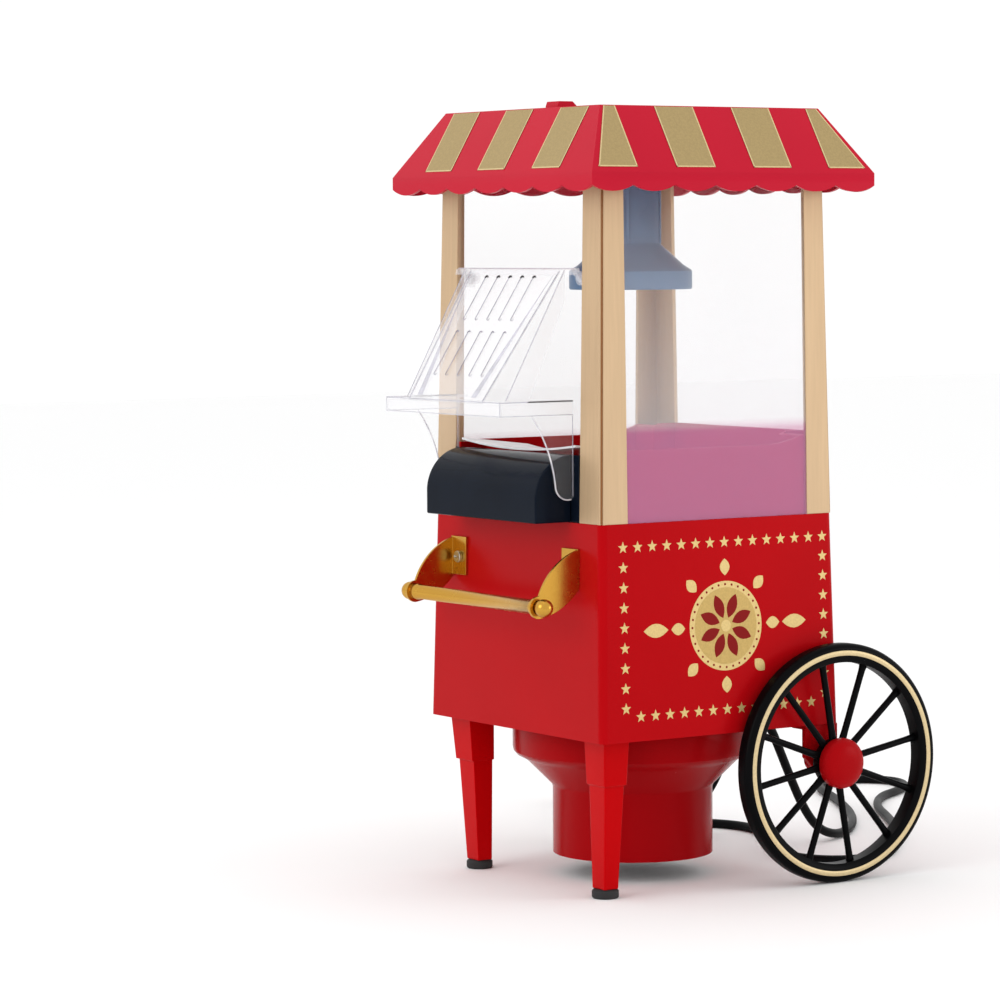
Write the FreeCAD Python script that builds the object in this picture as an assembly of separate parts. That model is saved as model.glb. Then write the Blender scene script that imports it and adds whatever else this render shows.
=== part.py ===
import FreeCAD, Part

import math
import os

from FreeCAD import Vector

# Tabletop hot-air popcorn maker in the shape of a cart. Millimetres, +Z up, -Y is the serving side.
# Everything is modelled about the middle of the cabinet, then moved so that the origin is the
# middle of the whole cart's footprint, on the floor.

# Driving dimensions
ROOF_TOP = 420.0
ROOF_FLAT = (74.2, 72.1)
ROOF_FOLD = (96.7, 93.1)
FOLD_Z = 384.7
VALANCE_LOBE_Z = 374.8
VALANCE_NOTCH_Z = 378.1
VALANCE_LOBES = 7
ROOF_SKIN = 2.0

CABINET_LOW = (83.75, 79.1)
CABINET_HIGH = (80.4, 76.9)
CABINET_BOTTOM = 85.6
CABINET_TOP = 200.6
CABINET_CORNER = 4.0
CABINET_WALL = 2.4

POST_TOP = (77.05, 73.25)
POST_TOP_Z = 398.0
POST_INNER = (60.2, 59.6)
POST_BOARD = 2.6
POST_GROOVE = 1.5

WHEEL_RADIUS = 65.3
WHEEL_RIM = 9.8
WHEEL_INNER_X = 86.5
WHEEL_OUTER_X = 97.0
WHEEL_SPOKES = 12
SPOKE_START = 10.0
SPOKE_WIDTH = 3.8
AXLE_Y = 71.3
AXLE_RADIUS = 3.0
AXLE_START = 73.0
AXLE_END = 95.6
RUNNING_FIT = 0.05
HUB_RADIUS = 13.0
HUB_CAP_RADIUS = 13.85
HUB_CAP_APEX = 101.5
LINE_INNER = 58.8
LINE_OUTER = 61.6
LINE_DEPTH = 0.9

LEDGE_FRONT = -124.0
HOOD_AXIS = (-68.5, 329.0)
HOOD_HALF_WIDTH = 56.0
HOOD_BACK = -77.2
HOOD_TOP = 334.0
LEDGE_TOP = 265.5
LEDGE_BOTTOM = 257.5
PANEL_TOP_HALF = 43.0
PANEL_FOOT_HALF = 36.0
PANEL_FOOT_Y = -122.4
CHEEK_X = 48.5
SLOT_PITCH = 11.5
SLOT_HALF_WIDTH = 1.2
SLOT_ROWS = ((4, 32), (39, 67))
CLEAR_SHEET = 1.6
PIN_RADIUS = 1.8

LIP_HALF_WIDTH = 53.4
LIP_SHEET = 2.0
LIP_FRONT = -100.0
LIP_TOP = 236.6
HANDLE_SCREW_X = 53.0
HANDLE_SCREW_Z = 176.0
BRACKET_SHEET = 1.6
WINDOW_TOP = 392.0

DUCT_OUTER = 16.3
DUCT_INNER = 14.8
KETTLE_RADIUS = 33.8

CORD_RADIUS = 2.6
COIL_CENTRE = (-156.0, 113.0)
COIL_RADIUS = 28.5
COIL_THICKNESS = 5.6
COIL_AXIS_ANGLE = 146.46
PLUG_LEAD = 40.0
PLUG_HEIGHT = 16.0
HEATER_RINGS = (97.0, 104.0, 111.0)

ORIGIN_SHIFT = Vector(0, -(AXLE_Y + WHEEL_RADIUS + LEDGE_FRONT) / 2, 0)

# Route of the cord from the strain relief to the coil, cart centred like the rest
CORD_ROUTE = [
    (-12.0, 93.2, 84.0),
    (-12.6, 104.5, 74.5),
    (-14.2, 113.5, 58.0),
    (-16.8, 124.0, 39.5),
    (-19.0, 134.5, 22.0),
    (-20.5, 146.5, 8.2),
    (-24.0, 162.5, 2.7),
    (-37.0, 183.0, 2.7),
    (-60.0, 204.5, 2.7),
    (-86.5, 224.0, 2.7),
    (-115.0, 241.0, 2.7),
    (-146.0, 258.0, 2.7),
    (-173.0, 269.5, 2.7),
    (-192.5, 283.5, 2.7),
    (-203.0, 303.0, 2.7),
    (-197.5, 324.5, 2.7),
    (-178.5, 335.0, 2.7),
    (-158.5, 327.5, 2.7),
    (-144.5, 309.5, 2.7),
    (-129.5, 281.0, 2.7),
    (-96.5, 252.0, 2.7),
    (-58.0, 230.5, 2.7),
    (-17.0, 203.0, 2.7),
    (21.0, 170.0, 2.7),
    (44.5, 145.5, 2.7),
    (54.0, 122.5, 2.7),
    (46.5, 101.5, 2.7),
    (26.5, 92.5, 2.7),
    (2.5, 99.5, 2.7),
    (-24.5, 120.0, 2.7),
    (-58.0, 137.5, 2.7),
    (-88.0, 140.5, 2.7),
    (-111.0, 125.5, 2.7),
]


def box(low, high):
    """A box from its lowest corner to its highest."""
    size = [b - a for a, b in zip(low, high)]
    return Part.makeBox(*size, Vector(*low))


def cylinder(radius, start, end):
    """A round bar between two points."""
    along = Vector(*end) - Vector(*start)
    return Part.makeCylinder(radius, along.Length, Vector(*start), along)


def tube(outer, inner, start, end):
    return cylinder(outer, start, end).cut(cylinder(inner, start, end))


def prism_x(outline, low_x, high_x):
    """An outline of (y, z) points or of edges in that plane, carried along X."""
    if isinstance(outline[0], tuple):
        corners = [Vector(low_x, y, z) for y, z in outline]
        wire = Part.makePolygon(corners + corners[:1])
    else:
        wire = Part.Wire(outline)
        wire.translate(Vector(low_x, 0, 0))
    return Part.Face(wire).extrude(Vector(high_x - low_x, 0, 0))


def line(a, b):
    return Part.LineSegment(Vector(*a), Vector(*b)).toShape()


def arc(a, middle, b):
    return Part.Arc(Vector(*a), Vector(*middle), Vector(*b)).toShape()


def turned(profile, axis_point=(0, 0, 0), axis=(0, 0, 1)):
    """A closed outline of (radius, height) points turned about an axis through axis_point."""
    corners = [Vector(r, 0, z) for r, z in profile]
    face = Part.Face(Part.makePolygon(corners + corners[:1]))
    solid = face.revolve(Vector(0, 0, 0), Vector(0, 0, 1), 360)
    turn = FreeCAD.Rotation(Vector(0, 0, 1), Vector(*axis))
    solid.Placement = FreeCAD.Placement(Vector(*axis_point), turn).multiply(solid.Placement)
    return solid


def rounded_rectangle(half_x, half_y, corner, z):
    """A closed wire round the middle of the cart at one height."""
    x, y = half_x - corner, half_y - corner
    slant = corner * math.sqrt(0.5)
    edges = []
    for sx, sy in ((1, 1), (-1, 1), (-1, -1), (1, -1)):
        ends = [Vector(sx * half_x, sy * y, z), Vector(sx * x, sy * half_y, z)]
        if sx != sy:
            ends.reverse()
        bend = Vector(sx * (x + slant), sy * (y + slant), z)
        edges.append(Part.Arc(ends[0], bend, ends[1]).toShape())
    sides = []
    for i, bend in enumerate(edges):
        start = bend.Vertexes[-1].Point
        following = edges[(i + 1) % 4].Vertexes[0].Point
        sides += [bend, Part.LineSegment(start, following).toShape()]
    return Part.Wire(sides)


def tapered(low, high, low_z, high_z, corner):
    """A block whose plan is a rounded rectangle at both ends."""
    ends = [rounded_rectangle(*low, corner, low_z), rounded_rectangle(*high, corner, high_z)]
    return Part.makeLoft(ends, True, True)


def four_sided(low, high, low_z, high_z):
    """A block between two upright rectangles given as (x0, x1, y0, y1)."""
    wires = []
    for (x0, x1, y0, y1), z in ((low, low_z), (high, high_z)):
        corners = [Vector(x0, y0, z), Vector(x1, y0, z), Vector(x1, y1, z), Vector(x0, y1, z)]
        wires.append(Part.makePolygon(corners + corners[:1]))
    return Part.makeLoft(wires, True, True)


def joined(shapes):
    whole = shapes[0].multiFuse(shapes[1:])
    return whole.removeSplitter()


def mirrored(shape, in_x=True):
    across = Vector(1, 0, 0) if in_x else Vector(0, 1, 0)
    return shape.mirror(Vector(0, 0, 0), across)


def shrunk(pair, by):
    return (pair[0] - by, pair[1] - by)


def cabinet_half(z):
    """Half the cabinet's width and depth at a height."""
    share = (z - CABINET_BOTTOM) / (CABINET_TOP - CABINET_BOTTOM)
    return tuple(a + (b - a) * share for a, b in zip(CABINET_LOW, CABINET_HIGH))


def post_half(z):
    """Where the posts' outer faces stand at a height."""
    share = (z - CABINET_TOP) / (POST_TOP_Z - CABINET_TOP)
    return tuple(a + (b - a) * share for a, b in zip(CABINET_HIGH, POST_TOP))


def save(node, shape):
    placed = shape.copy()
    placed.translate(ORIGIN_SHIFT)
    placed.exportStep("parts/" + node + ".step")
    solids = placed.Solids
    print(f"{node:24s} solids {len(solids)} volume {placed.Volume:10.1f} valid {placed.isValid()}")


# Places that several pieces share
RELIEF_EXIT = CORD_ROUTE[0]
RELIEF_HEIGHT = 94.0
SWITCH_CENTRE = (-35.0, 146.0)
SWITCH_CUTOUT = (11.0, 7.0)
HANDLE_BAR = (-103.2, 157.5)
HANDLE_RADIUS = 4.0
BRACKET_WEB_X = 60.5
SCREW_RADIUS = 1.7
LEG_TOP = (55.5, 74.5, -71.3, -54.9)
LEG_STEP = (55.3, 72.2, -69.7, -55.1)
LEG_SHAFT_TOP = (56.0, 70.8, -68.4, -55.8)
LEG_FOOT = (55.3, 66.8, -66.2, -57.0)
LEG_STEP_Z = 61.0
FOOT_HEIGHT = 5.0
FOOT_RADIUS = 7.25
BASE_BOTTOM = 11.85
BASE_MOUTH = 45.0
CHAMBER_RADIUS = 30.0
JACKET_RADIUS = 40.0
BOSS_PLACES = [(sx * 76.3, sy * 35.0) for sx in (1, -1) for sy in (1, -1)]
SCREW_SEAT = 87.2
SHANK_RADIUS = 1.5
HEAD_RADIUS = 3.0


# Cabinet

def body_shell():
    shell = tapered(CABINET_LOW, CABINET_HIGH, CABINET_BOTTOM, CABINET_TOP, CABINET_CORNER)
    inner_corner = CABINET_CORNER - CABINET_WALL
    low, high = shrunk(CABINET_LOW, CABINET_WALL), shrunk(CABINET_HIGH, CABINET_WALL)
    hollow = tapered(low, high, CABINET_BOTTOM, CABINET_TOP, inner_corner)
    shell = shell.cut(hollow)
    bosses = [cylinder(5.0, (x, y, 88), (x, y, 112)) for x, y in BOSS_PLACES]
    outside = tapered(CABINET_LOW, CABINET_HIGH, CABINET_BOTTOM, CABINET_TOP, CABINET_CORNER)
    shell = joined([shell] + [boss.common(outside) for boss in bosses])
    for x, y in BOSS_PLACES:
        shell = shell.cut(cylinder(SHANK_RADIUS, (x, y, 86), (x, y, 104)))
    x, z = SWITCH_CENTRE
    half_x, half_z = SWITCH_CUTOUT
    shell = shell.cut(box((x - half_x, 70, z - half_z), (x + half_x, 85, z + half_z)))
    shell = shell.cut(cylinder(5.2, (-12, 70, RELIEF_HEIGHT), (-12, 85, RELIEF_HEIGHT)))
    for screw in handle_screw_shanks():
        shell = shell.cut(screw)
    return shell


def body_floor():
    plate = tapered(shrunk(CABINET_LOW, 2.65), shrunk(CABINET_LOW, 2.65), 85.6, 88.0, 1.5)
    plate = plate.cut(cylinder(BASE_MOUTH, (0, 0, 80), (0, 0, 90)))
    for x, y in BOSS_PLACES:
        plate = plate.cut(cylinder(SHANK_RADIUS, (x, y, 80), (x, y, 90)))
        plate = plate.cut(cylinder(HEAD_RADIUS + 0.4, (x, y, 80), (x, y, SCREW_SEAT)))
    return plate


def body_screws():
    screws = []
    for x, y in BOSS_PLACES:
        head = cylinder(HEAD_RADIUS, (x, y, 85.7), (x, y, SCREW_SEAT))
        slot = box((x - 0.4, y - 2.2, 85.6), (x + 0.4, y + 2.2, 86.4))
        screws.append(head.fuse(cylinder(SHANK_RADIUS, (x, y, SCREW_SEAT), (x, y, 103))).cut(slot))
    return Part.makeCompound(screws)


def hopper():
    """The basin on the cabinet: a plus-shaped tray whose corners step round the posts."""
    floor = tapered((77.8, 74.3), (77.8, 74.3), 198.2, 200.6, 1.0)
    floor = floor.cut(cylinder(CHAMBER_RADIUS, (0, 0, 190), (0, 0, 210)))

    def plan(half_x, half_y, step_x, step_y, low_z, high_z):
        across = box((-half_x, -step_y, low_z), (half_x, step_y, high_z))
        along = box((-step_x, -half_y, low_z), (step_x, half_y, high_z))
        return across.fuse(along)

    walls = plan(77.7, 74.2, 59.9, 59.3, 200.6, 245.0).cut(plan(75.5, 72.0, 57.7, 57.1, 200.6, 245.0))
    rim = prism_x([line((0, -80, 239), (0, 30, 239)), arc((0, 30, 239), (0, 48, 240.6), (0, 62, 245)),
                   line((0, 62, 245), (0, 62, 250)), line((0, 62, 250), (0, -80, 250)),
                   line((0, -80, 250), (0, -80, 239))], -90, 90)
    front_gap = box((-57.7, -80, 230), (57.7, -57.1, 250))
    return joined([floor, walls.cut(rim).cut(front_gap)])


def hopper_slide():
    """Pale dished sheet that leads popcorn up from the chamber's mouth to the lip."""
    rise, sheet, half = 3.6, 1.2, 55.0
    front = [arc((-half, 0, rise), (0, 0, 0), (half, 0, rise)),
             line((half, 0, rise), (half, 0, rise + sheet)),
             arc((half, 0, rise + sheet), (0, 0, sheet), (-half, 0, rise + sheet)),
             line((-half, 0, rise + sheet), (-half, 0, rise))]
    slide = Part.Face(Part.Wire(front)).extrude(Vector(0, 44, -5))
    slide.translate(Vector(0, -75.5, 236.8))
    return slide.cut(cylinder(CHAMBER_RADIUS + 1, (0, 0, 200), (0, 0, 260)))


def corner_post():
    """One corner post: an angle of two thin boards with a groove down its outer corner."""
    (x0, y0), (x1, y1) = CABINET_HIGH, POST_TOP
    in_x, in_y = POST_INNER
    outer = four_sided((in_x, x0, in_y, y0), (in_x, x1, in_y, y1), CABINET_TOP, POST_TOP_Z)
    low = (in_x - 1, x0 - POST_BOARD, in_y - 1, y0 - POST_BOARD)
    high = (in_x - 1, x1 - POST_BOARD, in_y - 1, y1 - POST_BOARD)
    inside = four_sided(low, high, CABINET_TOP, POST_TOP_Z)
    low = (x0 - POST_GROOVE, x0 + 1, y0 - POST_GROOVE, y0 + 1)
    high = (x1 - POST_GROOVE, x1 + 1, y1 - POST_GROOVE, y1 + 1)
    groove = four_sided(low, high, CABINET_TOP, POST_TOP_Z)
    return outer.cut(inside).cut(groove)


def side_window():
    half = POST_INNER[1]
    low, high = post_half(CABINET_TOP)[0], post_half(WINDOW_TOP)[0]
    ends = [(low - 1.4, low - 0.3, -half, half), (high - 1.4, high - 0.3, -half, half)]
    return four_sided(*ends, CABINET_TOP, WINDOW_TOP)


def rear_window():
    half = POST_INNER[0]
    low, high = post_half(CABINET_TOP)[1], post_half(WINDOW_TOP)[1]
    ends = [(-half, half, low - 1.4, low - 0.3), (-half, half, high - 1.4, high - 0.3)]
    return four_sided(*ends, CABINET_TOP, WINDOW_TOP)


# Canopy and what hangs in it

def valance_side(half_length, half_depth):
    """One side of the valance, along X at -Y, with its scalloped lower edge."""
    pitch = 2 * half_length / VALANCE_LOBES
    edges = []
    for lobe in range(VALANCE_LOBES):
        a = -half_length + lobe * pitch
        start, end = (a, 0, VALANCE_NOTCH_Z), (a + pitch, 0, VALANCE_NOTCH_Z)
        edges.append(arc(start, (a + pitch / 2, 0, VALANCE_LOBE_Z), end))
    right, left = (half_length, 0, VALANCE_NOTCH_Z), (-half_length, 0, VALANCE_NOTCH_Z)
    top_right, top_left = (half_length, 0, FOLD_Z), (-half_length, 0, FOLD_Z)
    edges += [line(right, top_right), line(top_right, top_left), line(top_left, left)]
    side = Part.Face(Part.Wire(edges)).extrude(Vector(0, ROOF_SKIN, 0))
    side.translate(Vector(0, -half_depth, 0))
    return side


def canopy():
    roof = four_sided((-ROOF_FOLD[0], ROOF_FOLD[0], -ROOF_FOLD[1], ROOF_FOLD[1]),
                      (-ROOF_FLAT[0], ROOF_FLAT[0], -ROOF_FLAT[1], ROOF_FLAT[1]), FOLD_Z, ROOF_TOP)
    low, high = shrunk(ROOF_FOLD, ROOF_SKIN), shrunk(ROOF_FLAT, ROOF_SKIN)
    hollow = four_sided((-low[0], low[0], -low[1], low[1]), (-high[0], high[0], -high[1], high[1]),
                        FOLD_Z, ROOF_TOP - ROOF_SKIN)
    sockets = []
    for sx in (1, -1):
        for sy in (1, -1):
            corners = sorted((sx * 58.4, sx * 80.0)), sorted((sy * 57.8, sy * 77.0))
            (x0, x1), (y0, y1) = corners
            sockets.append(box((x0, y0, 392.5), (x1, y1, ROOF_TOP)).common(hollow))
    skin = roof.cut(hollow)
    sides = [valance_side(*ROOF_FOLD)]
    sides.append(mirrored(sides[0], False))
    end = valance_side(ROOF_FOLD[1], ROOF_FOLD[0])
    end.rotate(Vector(0, 0, 0), Vector(0, 0, 1), 90)
    sides += [end, mirrored(end)]
    whole = joined([skin] + sides + sockets)
    for post in post_solids():
        (x0, x1), (y0, y1) = post
        whole = whole.cut(box((x0, y0, 380), (x1, y1, POST_TOP_Z)))
    return whole.cut(cylinder(DUCT_INNER, (0, 0, 400), (0, 0, 430)))


def post_solids():
    """The plan rectangles that the posts' tops fill."""
    spans = []
    for sx in (1, -1):
        for sy in (1, -1):
            across = sorted((sx * POST_INNER[0], sx * (POST_TOP[0] + 0.3)))
            along = sorted((sy * POST_INNER[1], sy * (POST_TOP[1] + 0.3)))
            spans.append((across, along))
    return spans


def filler_duct():
    """Kettle-shaped skirt and the duct that carries kernels down from the roof."""
    skin = DUCT_OUTER - DUCT_INNER
    outline = [(KETTLE_RADIUS, 322.5), (KETTLE_RADIUS, 333), (28.8, 336), (DUCT_OUTER, 347.7),
               (DUCT_OUTER, 418), (DUCT_INNER, 418), (DUCT_INNER, 347.0), (28.0, 334.4),
               (KETTLE_RADIUS - skin, 331.5), (KETTLE_RADIUS - skin, 322.5)]
    return turned(outline)


def measuring_cup():
    cup = turned([(0, 396), (12.6, 396), (14.2, 400), (14.4, 420.3), (19, 420.3), (19, 421.8),
                  (13.0, 421.8), (12.8, 401), (11.8, 398), (0, 398)])
    arm = box((-6, -52, 420.3), (6, -15, 421.8))
    tab = prism_x([(-52, 421.8), (-51, 424.5), (-42, 424.5), (-39, 421.8)], -6, 6)
    return joined([cup, arm, tab]).cut(cylinder(12.8, (0, 0, 401), (0, 0, 430)))


# Serving side

def serving_lip():
    """Dark curved lip that hangs over the cabinet's front."""
    half, sheet, front, top = LIP_HALF_WIDTH, LIP_SHEET, LIP_FRONT, LIP_TOP
    outside = [line((0, -77, CABINET_TOP), (0, front, CABINET_TOP)),
               line((0, front, CABINET_TOP), (0, front, 214.5)),
               arc((0, front, 214.5), (0, -93.5, 229.3), (0, -77, top)),
               line((0, -77, top), (0, -77, CABINET_TOP))]
    low = CABINET_TOP + sheet
    inside = [line((0, -76, low), (0, front + sheet, low)),
              line((0, front + sheet, low), (0, front + sheet, 214.3)),
              arc((0, front + sheet, 214.3), (0, -92.0, 227.8), (0, -77, top - 2.1)),
              line((0, -77, top - 2.1), (0, -76, top - 2.1)), line((0, -76, top - 2.1), (0, -76, low))]
    lip = prism_x(outside, -half, half).cut(prism_x(inside, -half + sheet, half - sheet))
    flange = box((-59.8, -76.7, CABINET_TOP), (59.8, -74.8, top))
    hollow = box((-half + sheet, -76.7, 204), (half - sheet, -74.8, 232))
    return joined([lip, flange]).cut(hollow)


def slotted_panel():
    """Sloping panel of the hood, a little narrower at its foot, with two rows of slots."""
    top, foot = Vector(0, -77.0, HOOD_TOP), Vector(0, PANEL_FOOT_Y, LEDGE_TOP - 0.7)
    down = (foot - top).normalize()
    inward = Vector(0, -down.z, down.y)
    corners = [top + Vector(PANEL_TOP_HALF, 0, 0), foot + Vector(PANEL_FOOT_HALF, 0, 0),
               foot - Vector(PANEL_FOOT_HALF, 0, 0), top - Vector(PANEL_TOP_HALF, 0, 0)]
    panel = Part.Face(Part.makePolygon(corners + corners[:1])).extrude(inward * CLEAR_SHEET)
    across, outside = Vector(SLOT_HALF_WIDTH, 0, 0), inward * -CLEAR_SHEET
    for start, end in SLOT_ROWS:
        for number in range(-2, 3):
            upper = top + down * start + Vector(number * SLOT_PITCH, 0, 0) + outside
            lower = upper + down * (end - start)
            corners = [upper - across, upper + across, lower + across, lower - across]
            slot = Part.Face(Part.makePolygon(corners + corners[:1])).extrude(inward * CLEAR_SHEET * 3)
            panel = panel.cut(slot)
    return panel


def chute_hood():
    """Clear hood: slotted sloping panel, rim with a ledge, side skirts and hinge bosses."""
    half, sheet = HOOD_HALF_WIDTH, CLEAR_SHEET
    ring = box((-half, LEDGE_FRONT, LEDGE_BOTTOM), (half, HOOD_BACK, LEDGE_TOP))
    ring = ring.cut(box((-half + sheet, LEDGE_FRONT + sheet, LEDGE_BOTTOM - 5),
                        (half - sheet, HOOD_BACK + 5, LEDGE_TOP - 1.5)))
    mouth_half = CHEEK_X - 2.5
    mouth = box((-mouth_half, -113.5, LEDGE_BOTTOM), (mouth_half, HOOD_BACK + 5, LEDGE_TOP + 5))
    lines = [slotted_panel(), ring.cut(mouth)]
    skirt = prism_x([line((0, HOOD_BACK, 262), (0, HOOD_BACK, 216)),
                     arc((0, HOOD_BACK, 216), (0, -79, 213), (0, -82, 212.7)),
                     arc((0, -82, 212.7), (0, -86.5, 215), (0, -89, 221)),
                     arc((0, -89, 221), (0, -94, 240), (0, -104, LEDGE_BOTTOM)),
                     line((0, -104, LEDGE_BOTTOM), (0, -104, 262)), line((0, -104, 262), (0, HOOD_BACK, 262))],
                    half - sheet, half)
    cheek = prism_x([(-77.0, HOOD_TOP), (-115, LEDGE_TOP), (-100, LEDGE_TOP), (HOOD_BACK, 318)],
                    CHEEK_X - sheet, CHEEK_X)
    top_bar = prism_x([(-77.8, HOOD_TOP), (-76, 335), (-73, 335), (-73, 331), (-78.6, 331)], -half, half)
    y, z = HOOD_AXIS
    arm = prism_x([(-76, 335), (y, z + 3.4), (y, z - 3.4), (-73, 331), (-78.6, 331)], half - 4, half)
    boss = cylinder(3.4, (half - 6, y, z), (half, y, z))
    lines += [skirt, mirrored(skirt), cheek, mirrored(cheek), top_bar, arm, boss, mirrored(arm), mirrored(boss)]
    bore = cylinder(PIN_RADIUS + RUNNING_FIT, (-70, y, z), (70, y, z))
    return joined(lines).cut(bore)


def hood_hinge():
    """Clip behind the right front post with the pin that the hood turns on."""
    y, z = HOOD_AXIS
    clip = box((57.2, -71.7, z - 5), (66, y + 4, z + 5))
    pin = cylinder(PIN_RADIUS, (51, y, z), (58, y, z))
    return joined([clip, pin])


def front_face(z):
    return -cabinet_half(z)[1]


def handle_screw_shanks():
    x, z = HANDLE_SCREW_X, HANDLE_SCREW_Z
    y = front_face(z)
    return [cylinder(SCREW_RADIUS, (sx * x, y - 2, z), (sx * x, y + 8, z)) for sx in (1, -1)]


def handle_screws():
    """Round-headed screws through the brackets' tabs, each with a driver slot."""
    z = HANDLE_SCREW_Z
    y = front_face(z) - BRACKET_SHEET - 0.05
    screws = []
    for sx, shank in zip((1, -1), handle_screw_shanks()):
        x = sx * HANDLE_SCREW_X
        head = cylinder(3.2, (x, y, z), (x, y - 1.8, z))
        slot = box((x - 2.4, y - 2, z - 0.4), (x + 2.4, y - 1.1, z + 0.4))
        screws.append(head.fuse(shank).cut(slot))
    return Part.makeCompound(screws)


def handle_bracket():
    """Right bracket: a tab on the cabinet's face and a fan-shaped web out to the bar."""
    sheet, tab_top, tab_foot = BRACKET_SHEET, 187, 166
    bar_y, bar_z = HANDLE_BAR
    top_y, foot_y = front_face(tab_top), front_face(tab_foot)
    tab = prism_x([(top_y, tab_top), (foot_y, tab_foot), (foot_y - sheet, tab_foot), (top_y - sheet, tab_top)],
                  46.5, BRACKET_WEB_X + sheet / 2)
    top, foot = (0, top_y, tab_top), (0, foot_y, tab_foot)
    nose_top, nose, nose_foot = (0, bar_y, bar_z + 6), (0, bar_y - 6, bar_z), (0, bar_y, bar_z - 6)
    web = prism_x([arc(top, (0, -95, 176.5), nose_top), arc(nose_top, nose, nose_foot),
                   arc(nose_foot, (0, -87, 157.5), foot), line(foot, top)],
                  BRACKET_WEB_X - sheet / 2, BRACKET_WEB_X + sheet / 2)
    bore = cylinder(HANDLE_RADIUS, (40, bar_y, bar_z), (70, bar_y, bar_z))
    return joined([tab, web]).cut(bore).cut(handle_screw_shanks()[0])


def handle_bar():
    y, z = HANDLE_BAR
    bar = cylinder(HANDLE_RADIUS, (-64.8, y, z), (64.8, y, z))
    balls = [Part.makeSphere(4.9, Vector(sx * 65.5, y, z)) for sx in (1, -1)]
    return joined([bar] + balls)


# Running gear

def front_leg():
    socket = four_sided(LEG_STEP, LEG_TOP, LEG_STEP_Z, CABINET_BOTTOM)
    shaft = four_sided(LEG_FOOT, LEG_SHAFT_TOP, FOOT_HEIGHT, LEG_STEP_Z)
    return joined([socket, shaft])


def foot_pad():
    x, y = (LEG_FOOT[0] + LEG_FOOT[1]) / 2, (LEG_FOOT[2] + LEG_FOOT[3]) / 2
    pad = turned([(0, 0), (FOOT_RADIUS - 0.8, 0), (FOOT_RADIUS, 0.8), (FOOT_RADIUS, FOOT_HEIGHT - 1),
                  (FOOT_RADIUS - 1, FOOT_HEIGHT), (0, FOOT_HEIGHT)])
    pad.translate(Vector(x, y, 0))
    return pad


def wheel_bracket():
    y, z = AXLE_Y, WHEEL_RADIUS
    plate = prism_x([line((0, 56.9, CABINET_BOTTOM), (0, 56.9, 68)), line((0, 56.9, 68), (0, 63.6, 61)),
                     arc((0, 63.6, 61), (0, y, z - 8), (0, 79.1, 61)),
                     line((0, 79.1, 61), (0, 79.1, CABINET_BOTTOM)),
                     line((0, 79.1, CABINET_BOTTOM), (0, 56.9, CABINET_BOTTOM))], 78.9, 82.2)
    foot = box((70, 56.9, CABINET_BOTTOM - 2.6), (82.2, 79.1, CABINET_BOTTOM))
    boss = cylinder(7, (71, y, z), (82.2, y, z))
    bracket = joined([plate, foot, boss])
    return bracket.cut(stub_axle())


def stub_axle():
    """Right stub axle, pressed into its bracket's boss."""
    y, z = AXLE_Y, WHEEL_RADIUS
    return cylinder(AXLE_RADIUS, (AXLE_START, y, z), (AXLE_END, y, z))


def axle_clips():
    y, z = AXLE_Y, WHEEL_RADIUS
    return Part.makeCompound([tube(6, AXLE_RADIUS, (sx * 93.6, y, z), (sx * 94.6, y, z)) for sx in (1, -1)])


def about_axle(profile):
    """An outline of (radius, x) points turned about the axle."""
    return turned(profile, (0, AXLE_Y, WHEEL_RADIUS), (1, 0, 0))


def rim_outline():
    """Section of the tyre as (radius, x) points, its corners rounded by a formula."""
    corner, inner = 3.0, WHEEL_RADIUS - WHEEL_RIM
    outline = [(inner, WHEEL_INNER_X), (inner, WHEEL_OUTER_X)]
    for centre_x, first in ((WHEEL_OUTER_X - corner, 90), (WHEEL_INNER_X + corner, 0)):
        for step in range(7):
            turn = math.radians(first - step * 15)
            outline.append((WHEEL_RADIUS - corner + corner * math.cos(turn),
                            centre_x + corner * math.sin(turn)))
    return outline


def wheel():
    rim = about_axle(rim_outline())
    rim = rim.cut(wheel_ring())
    hub = about_axle([(0, 84.6), (HUB_RADIUS - 2, 84.6), (HUB_RADIUS, 87), (HUB_RADIUS, 93.2), (0, 93.2)])
    pieces = [rim, hub]
    for number in range(WHEEL_SPOKES):
        spoke = box((88.8, -SPOKE_WIDTH / 2, HUB_RADIUS - 3),
                    (92.6, SPOKE_WIDTH / 2, WHEEL_RADIUS - WHEEL_RIM + 1.5))
        spoke.rotate(Vector(0, 0, 0), Vector(1, 0, 0), SPOKE_START + number * 360 / WHEEL_SPOKES - 90)
        spoke.translate(Vector(0, AXLE_Y, WHEEL_RADIUS))
        pieces.append(spoke)
    bore = cylinder(AXLE_RADIUS + RUNNING_FIT, (80, AXLE_Y, WHEEL_RADIUS), (100, AXLE_Y, WHEEL_RADIUS))
    return joined(pieces).cut(bore)


def wheel_ring():
    """Gold line let into the outer face of the rim."""
    bottom = WHEEL_OUTER_X - LINE_DEPTH
    return about_axle([(LINE_INNER, bottom), (LINE_OUTER, bottom), (LINE_OUTER, WHEEL_OUTER_X),
                       (LINE_INNER, WHEEL_OUTER_X)])


def hub_cap():
    """Red domed cap pressed on the hub, hollow over the axle's end."""
    start, rise = 93.2, HUB_CAP_APEX - 95.2
    dome = [(HUB_CAP_RADIUS * math.cos(math.radians(a)), 95.2 + rise * math.sin(math.radians(a)))
            for a in range(0, 91, 10)]
    inside = [((HUB_CAP_RADIUS - 1.6) * math.cos(math.radians(a)),
               95.2 + (rise - 1.6) * math.sin(math.radians(a))) for a in range(90, -1, -10)]
    return about_axle([(HUB_CAP_RADIUS, start)] + dome + inside + [(HUB_CAP_RADIUS - 1.6, start)])


# Popper base, fan and heater

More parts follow.
